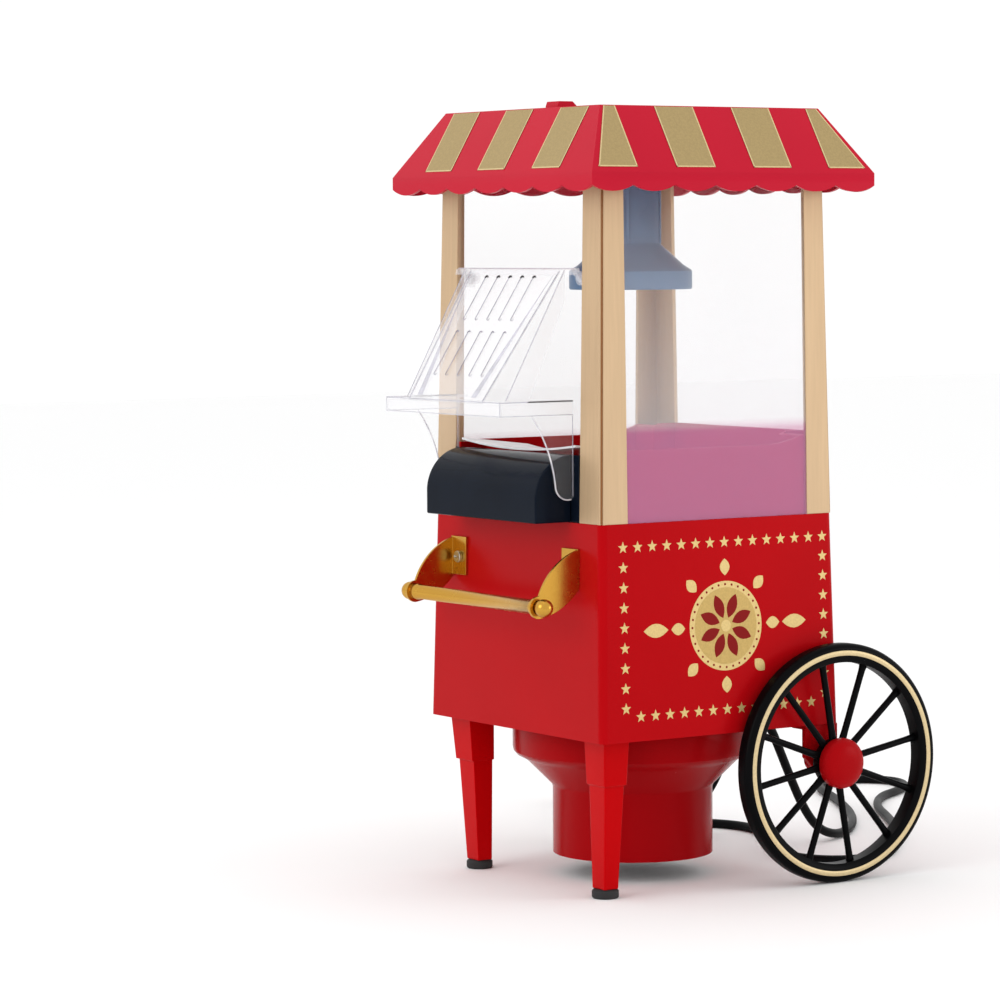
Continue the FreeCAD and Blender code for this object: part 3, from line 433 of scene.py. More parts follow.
def mirrored(part):
    """The same part on the other side of the cart, left for right."""
    vertices, faces = part
    flipped = []
    for v in vertices:
        spot = Vector(v) - MIDDLE
        spot.x = -spot.x
        flipped.append(spot + MIDDLE)
    return flipped, [tuple(reversed(face)) for face in faces]


def at(x, y, z):
    """A point given in millimetres about the middle of the cabinet."""
    return Vector((x, y, z)) * MM + MIDDLE


def whole_turn(steps):
    """Angles in radians, evenly round."""
    return [2 * math.pi * k / steps for k in range(steps)]


def rectangle(u_low, v_low, u_high, v_high):
    return [(u_low, v_low), (u_high, v_low), (u_high, v_high), (u_low, v_high)]


def skin(vertices, sides):
    """A closed tube over vertices given ring by ring."""
    faces = []
    for r in range(len(vertices) // sides - 1):
        for k in range(sides):
            j = (k + 1) % sides
            faces.append((r * sides + k, r * sides + j, (r + 1) * sides + j, (r + 1) * sides + k))
    faces += [tuple(range(sides - 1, -1, -1)), tuple(range(len(vertices) - sides, len(vertices)))]
    return vertices, faces


# ---- cord and plug

# Route in metres about the middle of the cabinet: down from the strain relief, then over the floor to the coil
CORD_FALL = [
    (-0.0120, 0.0932, 0.0840),
    (-0.0126, 0.1045, 0.0745),
    (-0.0142, 0.1135, 0.0580),
    (-0.0168, 0.1240, 0.0395),
    (-0.0190, 0.1345, 0.0220),
    (-0.0205, 0.1465, 0.0082),
]
CORD_ON_FLOOR = [
    (-0.0240, 0.1625), (-0.0370, 0.1830), (-0.0600, 0.2045), (-0.0865, 0.2240), (-0.1150, 0.2410),
    (-0.1460, 0.2580), (-0.1730, 0.2695), (-0.1925, 0.2835), (-0.2030, 0.3030), (-0.1975, 0.3245),
    (-0.1785, 0.3350), (-0.1585, 0.3275), (-0.1445, 0.3095), (-0.1295, 0.2810), (-0.0965, 0.2520),
    (-0.0580, 0.2305), (-0.0170, 0.2030), (0.0210, 0.1700), (0.0445, 0.1455), (0.0540, 0.1225),
    (0.0465, 0.1015), (0.0265, 0.0925), (0.0025, 0.0995), (-0.0245, 0.1200), (-0.0580, 0.1375),
    (-0.0880, 0.1405), (-0.1110, 0.1255),
]
CORD_REST = 0.0027  # height of the axis of a lead that lies on the floor
CORD_ROUTE = CORD_FALL + [(x, y, CORD_REST) for x, y in CORD_ON_FLOOR]
CORD_DIAMETER = 0.0052
COIL_MIDDLE = (-0.156, 0.113)
COIL_RADIUS = 0.0285
COIL_START = math.radians(326.46)
COIL_TURNS = 3.25
COIL_STEPS = 16  # to a turn
TURN_SHIFT = 0.125  # share of a turn in which it moves over to its place
# Where each turn lies in the bundle: (distance out from COIL_RADIUS, height)
COIL_TURN_PLACES = [(0.0026, 0.0027), (-0.0026, 0.0027), (-0.0025, 0.0078), (0.0026, 0.0078)]
PLUG_HEADING = math.radians(146.46)
PLUG_LEAD = 0.040  # from where the lead leaves the coil to the back of the plug
PLUG_AXIS_HEIGHT = 0.008


def smooth(t):
    t = max(0.0, min(1.0, t))
    return t * t * (3 - 2 * t)


def on_coil(radius, angle, height):
    """A point about the middle of the coil."""
    return (COIL_MIDDLE[0] + radius * math.cos(angle), COIL_MIDDLE[1] + radius * math.sin(angle), height)


def coil_points():
    """The put-away turns, wound clockwise, each moving over to its place as it starts."""
    points = []
    for step in range(1, int(COIL_TURNS * COIL_STEPS) + 1):
        turn = step / COIL_STEPS
        index = min(int(turn), len(COIL_TURN_PLACES) - 1)
        over = smooth((turn - index) / TURN_SHIFT) if index else 1
        before = COIL_TURN_PLACES[max(index - 1, 0)]
        offset, height = [a + (b - a) * over for a, b in zip(before, COIL_TURN_PLACES[index])]
        points.append(on_coil(COIL_RADIUS + offset, COIL_START - 2 * math.pi * turn, height))
    return points


def plug_heading():
    return Vector((math.cos(PLUG_HEADING), math.sin(PLUG_HEADING), 0))


def plug_back():
    start = Vector(on_coil(COIL_RADIUS, PLUG_HEADING + math.pi / 2, PLUG_AXIS_HEIGHT))
    return start + plug_heading() * PLUG_LEAD


def add_cord():
    """The mains lead as one curve from the strain relief through the coil to the plug."""
    tail = [plug_back() - plug_heading() * 0.025, plug_back() - plug_heading() * 0.010, plug_back()]
    start = Vector(on_coil(COIL_RADIUS + COIL_TURN_PLACES[0][0], COIL_START, CORD_REST))
    route = [Vector(p) + MIDDLE for p in CORD_ROUTE + [start] + coil_points() + tail]
    curve = bpy.data.curves.new("power_lead", "CURVE")
    curve.dimensions = "3D"
    curve.bevel_depth, curve.bevel_resolution = CORD_DIAMETER / 2, 6
    curve.resolution_u = 8
    curve.use_fill_caps = True
    spline = curve.splines.new("NURBS")
    spline.points.add(len(route) - 1)
    for point, spot in zip(spline.points, route):
        point.co = (*spot, 1)
    spline.order_u = 3
    spline.use_endpoint_u = True
    curve.materials.append(MATERIALS["cord_black"])
    lead = bpy.data.objects.new("power_lead", curve)
    bpy.context.scene.collection.objects.link(lead)
    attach(lead, "root")
    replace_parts(lead, "power_cord", "cord_coil", "cord_tail")
    plug, blades = add_plug()
    relief = add_strain_relief()


def ribbed_sleeve(length, wide, narrow, ribs):
    """Outline of a tapered sleeve with grooves cut round it, from its wide end to its tip."""
    profile = [(CORD_DIAMETER / 2 / MM, 0), (wide, 0)]
    for rib in range(ribs):
        for share, depth in ((0.0, 0), (0.55, 0), (0.62, 0.55), (0.92, 0.55)):
            along = (rib + share) / ribs
            profile.append((wide + (narrow - wide) * along - depth, 0.5 + (length - 1) * along))
    profile += [(narrow, length - 0.4), (narrow - 0.4, length), (CORD_DIAMETER / 2 / MM, length)]
    return profile


def squared(value):
    """Pushes a sine or cosine outwards, which makes a round section soft-cornered."""
    return math.copysign(abs(value) ** 0.5, value)


# The plug in millimetres: (distance from its back, half width, half height) of the grip's sections
PLUG_SECTIONS = ((10, 5, 4.5), (12, 7.2, 6), (14, 8.6, 7), (18, 9.2, 7.2), (24, 9.4, 7.4), (30, 9.8, 7.8),
                 (33, 9.8, 7.8))
PLUG_SIDES = 32
PLUG_SLEEVE = 12
RIB_STARTS = (17, 20, 23, 26)
RIB_ENDS = (18.4, 21.4, 24.4, 27.4)
BLADE_OFFSET, BLADE_HALF_THICKNESS = 6.35, 0.75


def add_plug():
    """Two-pole plug: a soft-cornered grip with finger ribs, its sleeve and two flat blades."""
    back = plug_back() + MIDDLE
    heading = plug_heading()
    side = Vector((-heading.y, heading.x, 0))

    def place(along, across, up):
        return back + (heading * along + side * across) * MM + Vector((0, 0, up * MM))

    grip = [place(along, wide * squared(math.cos(a)), tall * squared(math.sin(a)))
            for along, wide, tall in PLUG_SECTIONS for a in whole_turn(PLUG_SIDES)]
    parts = [skin(grip, PLUG_SIDES)]
    for start, end in zip(RIB_STARTS, RIB_ENDS):
        rib = rounded(rectangle(start, -5.5, end, 5.5), 0.6)
        parts.append(prism(rib, 6.8, 7.9, place))
    profile = [(r, PLUG_SLEEVE - h) for r, h in ribbed_sleeve(PLUG_SLEEVE, 4.9, 3.3, 4)]
    sleeve, sleeve_faces = lathe(profile, (0, 0, 0), (0, 0, 1), 40)
    turn = Vector((0, 0, 1)).rotation_difference(heading).to_matrix()
    parts.append(([back + turn @ Vector(v) for v in sleeve], sleeve_faces))
    plug = soften(add_piece("plug_grip", *merged(parts), "cord_black", slot="base_black"), 0.25, 2)
    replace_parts(plug, "plug")
    tabs = []
    for across in (-BLADE_OFFSET, BLADE_OFFSET):
        blade = rounded(rectangle(33, -3.2, 49, 3.2), 1.2)
        tabs.append(prism(blade, across - BLADE_HALF_THICKNESS, across + BLADE_HALF_THICKNESS,
                          lambda u, v, w: place(u, w, v)))
    blades = soften(add_piece("plug_pins", *merged(tabs), "brass", slot="blade_brass"), 0.15, 2)
    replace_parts(blades, "plug_blades")
    return plug, blades


def add_strain_relief():
    """Ribbed sleeve out to where the lead's route starts, and the collar that grips the cabinet's wall."""
    tip = Vector(CORD_ROUTE[0]) + MIDDLE
    wall = SHELL_HIGH.y
    start = Vector((tip.x, wall + 0.0010, 0.0936))
    along = tip - start
    sleeve = lathe(ribbed_sleeve(along.length / MM, 5.0, 3.4, 6), start, along.normalized(), 40)
    collar = lathe(rounded([(3, -2.5), (5.1, -2.5), (5.1, 0.1), (6.9, 0.1), (6.9, 1.8), (3, 1.8)], 0.4),
                   (tip.x, wall, 0.094), (0, 1, 0), 48)
    relief = add_piece("cord_relief", *merged([sleeve, collar]), "rubber", slot="base_black")
    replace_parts(relief, "strain_relief")
    return relief


# ---- canopy

ROOF_FOLD = (96.7, 93.1)
ROOF_FLAT = (74.2, 72.1)
FOLD_Z, ROOF_Z = 384.7, 420.0
# How far a stripe and its painted highlight lines stand proud of the roof, and how far both reach into it
STRIPE_LIFT, STRIPE_EDGE_LIFT, STRIPE_SINK = 0.22, 0.22 + 0.06, -0.3
STRIPE_LOW, STRIPE_HIGH = 0.075, 0.985  # where stripes start and end, from 0 at the fold to 1 at the flat
STRIPE_LINE, STRIPE_FOOT_LINE = 0.75, 0.018  # width of the side lines in millimetres, of the foot's as a rise


def slope_point(side, across, rise, lift):
    """A point on one roof slope: across it, from 0 at the fold to 1 at the flat, and out from it."""
    long_side = side in ("front", "rear")
    run, flat = (ROOF_FOLD[1], ROOF_FLAT[1]) if long_side else (ROOF_FOLD[0], ROOF_FLAT[0])
    height = ROOF_Z - FOLD_Z
    normal_out, normal_up = Vector((height, run - flat)).normalized()
    out = run + (flat - run) * rise + normal_out * lift
    z = FOLD_Z + height * rise + normal_up * lift
    return {"front": at(across, -out, z), "rear": at(-across, out, z),
            "right": at(out, across, z), "left": at(-out, -across, z)}[side]


def slope_plate(side, low_left, low_right, high_left, high_right, rise_low, rise_high, low, high):
    """A thin four-sided plate lying on a roof slope."""
    corners = [(low_left, rise_low), (low_right, rise_low), (high_right, rise_high), (high_left, rise_high)]
    return prism(corners, low, high, lambda u, rise, lift: slope_point(side, u, rise, lift))


def stripe_spans(side):
    """The painted stripes of one slope as (left, right) edges, each given at the fold and at the flat."""
    if side in ("front", "rear"):
        return [((-65, -65), (-39, -39)), ((-13, -13), (13, 13)), ((39, 39), (65, 65))]
    hip_low, hip_high = ROOF_FOLD[1] - 4.0, ROOF_FLAT[1] - 2.0
    outer = [((63, 63), (hip_low, hip_high)), ((-hip_low, -hip_high), (-63, -63))]
    return outer + [((12.6, 12.6), (37.8, 37.8)), ((-37.8, -37.8), (-12.6, -12.6))]


def between(pair, share):
    return pair[0] + (pair[1] - pair[0]) * share


def add_stripes():
    """Gold stripes painted on the roof, each with a paler painted highlight line at its sides and foot, where
    the stripe's raised edge catches light.
    """
    fills, edges = [], []
    low, high, line = STRIPE_LOW, STRIPE_HIGH, STRIPE_LINE
    for side in ("front", "rear", "right", "left"):
        for left, right in stripe_spans(side):
            a, b = between(left, low), between(right, low)
            c, d = between(left, high), between(right, high)
            fills.append(slope_plate(side, a, b, c, d, low, high, STRIPE_SINK, STRIPE_LIFT))
            for p, q, r, s in ((a, a + line, c, c + line), (b - line, b, d - line, d)):
                edges.append(slope_plate(side, p, q, r, s, low, high, STRIPE_SINK, STRIPE_EDGE_LIFT))
            foot = low + STRIPE_FOOT_LINE
            edges.append(slope_plate(side, a, b, a, b, low, foot, STRIPE_SINK, STRIPE_EDGE_LIFT))
    add_piece("roof_stripes", *merged(fills), "stripe_gold", slot="ring_gold")
    add_piece("roof_stripe_highlights", *merged(edges), "stripe_edge", slot="ring_gold")


# ---- printed side panels

PRINT_SINK, PRINT_LIFT = -0.2, 0.10  # how far a print reaches into the panel and stands proud of it
# The border of stars in millimetres: gaps, heights of the rows, first column, numbers of columns and rows
STAR_PITCH_Y, STAR_PITCH_Z = 9.48, 10.62
STAR_TOP, STAR_BOTTOM, STAR_FIRST = 188.2, 98.6, -63.3
STAR_COLUMNS, STAR_ROWS = 15, 9
STAR_RADIUS, STAR_WAIST = 3.3, 0.42
PANEL_CENTRE = (3.06, 143.4)  # middle of that border, as (y, z) of side_point
# The rosette: radii in millimetres, and how far its layers stand proud
RIM_RADIUS, FIELD_RADIUS, BOSS_RADIUS = 24, 20.5, 3.2
BEAD_RING, BEAD_RADIUS, BEADS = 22.2, 0.65, 32
FIELD_LIFT, BEAD_LIFT, PETAL_LIFT, BOSS_LIFT = 0.16, 0.18, 0.22, 0.26
# (turn in degrees, start, end, width) of the petals inside and of the leaves round the rim and to the sides
PETALS = [(45 * k + 22.5, 4.5, 18, 6.5) for k in range(8)]
LEAVES = [(45 * k, 27, 36, 6.5) for k in range(8)] + [(0, 38, 54, 7.5), (180, 38, 54, 7.5)]


def side_point(sign, y, z, lift):
    """A point on the cabinet's right (1) or left (-1) face; y runs to the right as one looks at the face."""
    x = 83.75 - 3.35 * (z - 85.6) / 115 + lift
    return at(sign * x, sign * y, z)


def decal(sign, outline, lift=PRINT_LIFT):
    """A thin shape printed on a side panel from (y, z) points."""
    return prism(outline, PRINT_SINK, lift, lambda u, v, w: side_point(sign, u, v, w))


def star(y, z):
    """A five-pointed star that stands on two points."""
    outline = []
    for k in range(10):
        r = STAR_RADIUS if k % 2 == 0 else STAR_RADIUS * STAR_WAIST
        a = math.radians(90 + k * 180 / 5)
        outline.append((y + r * math.cos(a), z + r * math.sin(a)))
    return outline


def star_places():
    first, last = STAR_FIRST, STAR_FIRST + (STAR_COLUMNS - 1) * STAR_PITCH_Y
    top_row = [(first + k * STAR_PITCH_Y, STAR_TOP) for k in range(STAR_COLUMNS)]
    columns = [(y, STAR_TOP - k * STAR_PITCH_Z) for y in (first, last) for k in range(1, STAR_ROWS)]
    bottom_row = [(first + k * STAR_PITCH_Y, STAR_BOTTOM) for k in range(1, STAR_COLUMNS - 1)]
    return top_row + columns + bottom_row


def petal(turn, start, end, width):
    """A pointed oval that points away from the panel's centre, between two radii."""
    along_y, along_z = math.cos(math.radians(turn)), math.sin(math.radians(turn))
    outline = []
    for i in range(20):
        a = math.pi * i / 10
        reach = (start + end) / 2 - (end - start) / 2 * math.cos(a)
        half = width / 2 * math.sin(a) * abs(math.sin(a))
        outline.append((PANEL_CENTRE[0] + along_y * reach - along_z * half,
                        PANEL_CENTRE[1] + along_z * reach + along_y * half))
    return outline


def disc(radius, place=(0, 0), corners=64):
    """A round outline about the panel's centre, or that far from it."""
    y, z = PANEL_CENTRE[0] + place[0], PANEL_CENTRE[1] + place[1]
    return [(y + radius * math.cos(a), z + radius * math.sin(a)) for a in whole_turn(corners)]


def rim_beads():
    places = [(BEAD_RING * math.cos(a), BEAD_RING * math.sin(a)) for a in whole_turn(BEADS)]
    return [disc(BEAD_RADIUS, place, 8) for place in places]


def add_side_prints():
    """A border of stars and a plain rosette, level and alike to left and right."""
    stars, fields, gold, red = [], [], [], []
    for sign in (1, -1):
        stars += [decal(sign, star(y, z)) for y, z in star_places()]
        gold.append(decal(sign, disc(RIM_RADIUS)))
        gold += [decal(sign, petal(*leaf)) for leaf in LEAVES]
        gold.append(decal(sign, disc(BOSS_RADIUS), BOSS_LIFT))
        fields.append(decal(sign, disc(FIELD_RADIUS), FIELD_LIFT))
        red += [decal(sign, petal(*inner), PETAL_LIFT) for inner in PETALS]
        red += [decal(sign, bead, BEAD_LIFT) for bead in rim_beads()]
    add_piece("side_stars", *merged(stars), "foil_gold", slot="ring_gold", sharp=60)
    add_piece("side_rosettes", *merged(gold), "foil_gold", slot="ring_gold", sharp=60)
    add_piece("rosette_fields", *merged(fields), "foil_bronze", slot="ring_gold", sharp=60)
    add_piece("rosette_marks", *merged(red), "print_red", slot="cabinet_red", sharp=60)


# ---- serving side

def along_x(outline, low, high):
    """An outline of (y, z) points carried along X."""
    return prism(outline, low, high, lambda u, v, w: at(w, u, v))


def arc_points(centre, radius, first, last, steps):
    """Points on an arc; angles in degrees from the first axis towards the second."""
    out = []
    for k in range(steps + 1):
        a = math.radians(first + (last - first) * k / steps)
        out.append((centre[0] + radius * math.cos(a), centre[1] + radius * math.sin(a)))
    return out


def circle_through(a, b, c):
    """Centre and radius of the circle through three points."""
    ax, ay, bx, by, cx, cy = *a, *b, *c
    d = 2 * (ax * (by - cy) + bx * (cy - ay) + cx * (ay - by))
    a_far, b_far, c_far = ax * ax + ay * ay, bx * bx + by * by, cx * cx + cy * cy
    ux = (a_far * (by - cy) + b_far * (cy - ay) + c_far * (ay - by)) / d
    uy = (a_far * (cx - bx) + b_far * (ax - cx) + c_far * (bx - ax)) / d
    return (ux, uy), math.hypot(ax - ux, ay - uy)


def arc_through(a, b, c, steps):
    """Points on the shorter arc from a to c of the circle through all three."""
    centre, radius = circle_through(a, b, c)
    first, last = [math.degrees(math.atan2(p[1] - centre[1], p[0] - centre[0])) for p in (a, c)]
    if abs(last - first) > 180:
        last += 360 if last < first else -360
    return arc_points(centre, radius, first, last, steps)


LIP_HALF, FLANGE_HALF = 53.4, 59.7


def add_serving_lip():
    """The dark spout: a curved roll closed at both ends, with its flange."""
    crown = arc_through((-100, 214.5), (-93.5, 229.3), (-77.2, 236.6), 24)
    roll = along_x([(-77.2, 200.8), (-99.4, 200.8), (-100, 201.4)] + crown, -LIP_HALF, LIP_HALF)
    flange = along_x(rounded([(-76.8, 200.8), (-76.8, 236.4), (-74.9, 236.4), (-74.9, 200.8)], 0.4),
                     -FLANGE_HALF, FLANGE_HALF)
    lip = soften(add_piece("spout_shell", *roll, "lip_black", slot="lip_black", sharp=50), 1.1, 4, 50)
    soften(add_piece("spout_flange", *flange, "lip_black", slot="lip_black"), 0.3, 2)
    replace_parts(lip, "serving_lip")


def plate(outline, holes, low, high, place):
    """A flat sheet with holes; place turns (u, v, depth) into the row frame."""
    loops = [outline] + holes
    flat = [Vector((u, v, 0)) for loop in loops for u, v in loop]
    count = len(flat)
    vertices = [place(p.x, p.y, w) for w in (low, high) for p in flat]
    triangles = tessellate_polygon([[Vector((u, v, 0)) for u, v in loop] for loop in loops])
    faces = [tuple(t) for t in triangles] + [tuple(i + count for i in reversed(t)) for t in triangles]
    start = 0
    for loop in loops:
        n = len(loop)
        for i in range(n):
            a, b = start + i, start + (i + 1) % n
            faces.append((a, b, b + count, a + count))
        start += n
    return vertices, faces


def rod(points, radius, sides=6):
    """A thin round line along points given in millimetres, one short bar per step."""
    circle = [(radius * math.cos(a), radius * math.sin(a)) for a in whole_turn(sides)]
    bars = []
    for start, end in zip(points, points[1:]):
        start, end = Vector(start), Vector(end)
        turn = (end - start).to_track_quat("Z", "Y").to_matrix()
        bars.append(prism(circle, 0, 1,
                          lambda u, v, w: at(*((end if w else start) + turn @ Vector((u, v, 0))))))
    return bars


# The hood, in millimetres about the middle of the cabinet; pairs are (y, z) unless they say otherwise
PANEL_TOP, PANEL_FOOT = (-77.0, 334.0), (-122.4, 264.8)
PANEL_HALF = (43.0, 36.0)  # half the panel's width at its top and foot
PANEL_SHEET, SIDE_SHEET = 1.4, 1.6
SLOT_PITCH, SLOT_HALF, SLOT_COLUMNS = 11.5, 1.2, range(-2, 3)
# The upper row's heads are drawn in painted shade, the lower row's in the light caught in the edges
SLOT_ROWS = ((4, 32, "dark_edge"), (39, 67, "clear_edge"))  # start, end, and the look of the slots' heads
HOOD_HALF, CHEEK_HALF, SKIRT_INSIDE = 56, 48.5, 54.4
LEDGE_UNDER, LEDGE_TOP, FRONT_FOOT = 264.1, 265.5, 257.5
SKIRT = arc_through((-79, 213.1), (-86.5, 215), (-89, 221), 8) \
    + arc_through((-89, 221), (-94, 240), (-104, 257.5), 16)
# Where its drawn edges run, a little inside the outer faces
EDGE_X, CHEEK_EDGE_X, SKIRT_EDGE_X = 55.6, 48.1, 55.5
EDGE_FRONT, EDGE_DARKENS, EDGE_BACK = -123.6, -106, -77.6
EDGE_HIGH, EDGE_LOW = 265.1, 257.9
# The material and radius that draw each kind of edge
LINE_LOOKS = {"clear_edge": ("clear_edge", 0.36), "dark_edge": ("dark_edge", 0.5), "fine": ("clear_edge", 0.24),
              "skirt": ("bright_edge", 0.4)}
# A crease's corners on the panel, as (half the width there, distance down it)
CREASE = ((40, 3), (24, 80), (28.5, 80))
CREASE_PROUD, CREASE_SUNK = -0.02, 0.2


def slot_outline(x, start, end):
    """A round-ended slot in the hood's panel, as (x, distance down the panel) points."""
    head = arc_points((x, start + SLOT_HALF), SLOT_HALF, 180, 360, 8)
    return head + arc_points((x, end - SLOT_HALF), SLOT_HALF, 0, 180, 8)


def on_panel(x, distance, depth=0.0):
    """A point in millimetres on the sloping panel, depth going in behind it."""
    dy, dz = PANEL_FOOT[0] - PANEL_TOP[0], PANEL_FOOT[1] - PANEL_TOP[1]
    length = math.hypot(dy, dz)
    dy, dz = dy / length, dz / length
    return (x, PANEL_TOP[0] + dy * distance - dz * depth, PANEL_TOP[1] + dz * distance + dy * depth)


def hood_sheets():
    """Panel with its slots, ledge, front edge, cheeks, top bar, bosses and arms, all in clear sheet."""
    length = math.dist(PANEL_TOP, PANEL_FOOT)
    top_half, foot_half = PANEL_HALF
    panel = [(-top_half, 0), (top_half, 0), (foot_half, length), (-foot_half, length)]
    slots = [slot_outline(x * SLOT_PITCH, start, end) for start, end, _ in SLOT_ROWS for x in SLOT_COLUMNS]
    parts = [plate(panel, slots, 0, PANEL_SHEET, lambda u, v, w: at(*on_panel(u, v, w)))]
    ledge = [(-56, -124), (56, -124), (56, -77.2), (46, -77.2), (46, -113.5), (-46, -113.5), (-46, -77.2),
             (-56, -77.2)]
    parts.append(plate(ledge, [], LEDGE_UNDER, LEDGE_TOP, at))
    parts.append(along_x(rectangle(-124, FRONT_FOOT, -122.6, LEDGE_UNDER), -HOOD_HALF, HOOD_HALF))
    flank = rectangle(-122.6, FRONT_FOOT, -77.2, LEDGE_UNDER)
    cheek = [(-77, 334), (-115, 265.6), (-100, 265.6), (-77.2, 318)]
    for outline, outer in ((flank, HOOD_HALF), (cheek, CHEEK_HALF)):
        side = along_x(outline, outer - SIDE_SHEET, outer)
        parts += [side, mirrored(side)]
    top_bar = [(-77.8, 333.9), (-76, 335), (-73, 335), (-73, 331.2), (-78.4, 331.2)]
    parts.append(along_x(top_bar, -HOOD_HALF, HOOD_HALF))
    boss = along_x(arc_points((-68.5, 329), 3.3, 0, 337.5, 15), 50.4, HOOD_HALF)
    arm = along_x([(-75.5, 334.9), (-69.5, 332.1), (-69.5, 325.9), (-74, 331.2)], 52.2, HOOD_HALF)
    return merged(parts + [boss, mirrored(boss), arm, mirrored(arm)])


def slot_lines(x, start, end):
    """A slot's round head, left wall and round foot, as three runs of points."""
    outline = slot_outline(x, start, end)
    head = [on_panel(u, v, 0.2) for u, v in outline[:8]]
    wall = [on_panel(x - SLOT_HALF, v, 0.3) for v in (start + SLOT_HALF, end - SLOT_HALF)]
    foot = [on_panel(u, v, 0.3) for u, v in outline[9:]]
    return head, wall, foot


def hood_lines():
    """Runs of points along the sheets' edges, by the look that draws them."""
    lines = {look: [] for look in LINE_LOOKS}
    for start, end, head_look in SLOT_ROWS:
        for column in SLOT_COLUMNS:
            head, wall, foot = slot_lines(column * SLOT_PITCH, start, end)
            lines[head_look].append(head)
            lines["fine"] += [wall, foot]
    length = math.dist(PANEL_TOP, PANEL_FOOT)
    for sign in (1, -1):
        x = sign * EDGE_X
        lines["clear_edge"].append([on_panel(sign * (PANEL_HALF[0] - 0.3), 0.5, 0.6),
                                    on_panel(sign * (PANEL_HALF[1] - 0.3), length - 1, 0.6)])
        lines["fine"].append([(sign * CHEEK_EDGE_X, -77.2, 333.6), (sign * CHEEK_EDGE_X, -114.8, 265.8)])
        lines["fine"].append([(x, EDGE_BACK, 257.2), (x, EDGE_BACK, 214.8)])
        lines["skirt"].append([(sign * SKIRT_EDGE_X, y + 0.3, z) for y, z in SKIRT])
        lines["fine"].append([(x, EDGE_FRONT, EDGE_HIGH), (x, EDGE_FRONT, EDGE_LOW)])
        lines["fine"].append([(x, EDGE_FRONT, EDGE_LOW), (x, EDGE_BACK, EDGE_LOW)])
        lines["clear_edge"].append([(x, EDGE_FRONT, EDGE_HIGH), (x, EDGE_DARKENS, EDGE_HIGH)])
        # painted shade along the back of the ledge's top edge
        lines["dark_edge"].append([(x, EDGE_DARKENS, EDGE_HIGH), (x, EDGE_BACK, EDGE_HIGH)])
    across = (("clear_edge", EDGE_FRONT, EDGE_HIGH), ("fine", EDGE_FRONT, EDGE_LOW), ("fine", -76, 334.6))
    for look, y, z in across:
        lines[look].append([(-EDGE_X, y, z), (EDGE_X, y, z)])
    return lines


def add_hood():
    """Clear hood that swings up, its edges drawn by the light caught in them and, in places, by painted shade.
    """
    sheets = add_piece("clear_hood_sheets", *hood_sheets(), "clear_hood", "hood", "clear_plastic", 30)
    skirt = along_x([(-77.2, FRONT_FOOT), (-77.2, 214.5), (-78, 213.4)] + SKIRT, SKIRT_INSIDE, HOOD_HALF)
    both = merged([skirt, mirrored(skirt)])
    skirts = add_piece("clear_hood_skirts", *both, "clear_skirt", "hood", "clear_plastic", 30)
    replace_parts(sheets, "chute_hood")
    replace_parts(skirts, "chute_hood")
    for look, runs in hood_lines().items():
        material, radius = LINE_LOOKS[look]
        bars = merged([bar for run in runs for bar in rod(run, radius)])
        add_piece("hood_lines_" + look, *bars, material, "hood", "clear_plastic", 50)
    creases = []
    for sign in (1, -1):
        corners = [on_panel(sign * x, v, depth) for depth in (CREASE_PROUD, CREASE_SUNK) for x, v in CREASE]
        faces = [(0, 1, 2), (5, 4, 3), (0, 3, 4, 1), (1, 4, 5, 2), (2, 5, 3, 0)]
        creases.append(([at(*p) for p in corners], faces))
    add_piece("hood_creases", *merged(creases), "clear_crease", "hood", "clear_plastic", 50)


HANDLE_Y, HANDLE_Z = -103.2, 157.5
BALL_RADIUS, BALL_MIDDLE, BALL_END = 4.9, 65.5, 70.4


def add_handle():
    """Brass towel-bar handle: a turned bar with collars and ball ends."""
    half = [(3.9, 0), (3.9, 55.5), (4.35, 56.2), (4.35, 58.6), (3.9, 59.2), (3.6, 61.4)]
    half += arc_points((0, BALL_MIDDLE), BALL_RADIUS, -58, 90, 16)[:-1] + [(0, BALL_END)]
    bar = lathe([(r, -h) for r, h in reversed(half)] + half, at(0, HANDLE_Y, HANDLE_Z), (1, 0, 0), 64)
    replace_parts(add_piece("handle_rod", *bar, "brass", slot="handle_brass", sharp=45), "handle_bar")


# ---- wheels

AXLE = (71.3, 65.3)  # (y, z)
WHEEL_STEPS = 160
SPOKES, SPOKE_GAP, FIRST_SPOKE = 12, 30, 10  # number, and degrees
SPOKE_X, SPOKE_SIDES, SPOKE_HALF_THICKNESS = 90.7, 12, 1.85
# A spoke's half width at distances from the axle
SPOKE_SECTIONS = ((10.5, 2.6), (14, 2.2), (18, 1.95), (48, 1.8), (52.5, 1.95), (56.2, 2.7))


def about_axle(profile, steps=WHEEL_STEPS):
    """A closed outline of (radius, x) turned about the axle, on the right-hand side."""
    return lathe(profile, at(0, *AXLE), (1, 0, 0), steps)


def spoke(angle):
    """A round-sided spoke, thicker at its root and foot."""
    a = math.radians(angle)
    along, across = Vector((0, math.cos(a), math.sin(a))), Vector((0, -math.sin(a), math.cos(a)))
    start = Vector((SPOKE_X, *AXLE))
    vertices = []
    for distance, half in SPOKE_SECTIONS:
        for b in whole_turn(SPOKE_SIDES):
            thick = Vector((SPOKE_HALF_THICKNESS * math.sin(b), 0, 0))
            vertices.append(at(*(start + along * distance + across * half * math.cos(b) + thick)))
    return skin(vertices, SPOKE_SIDES)


def tread(middle, tall, angles):
    """Part of the tread's round section, as (radius, x) points about a middle in x."""
    turns = [math.radians(a) for a in angles]
    return [(62.1 + 3.2 * math.cos(a), middle + tall * math.sin(a)) for a in turns]


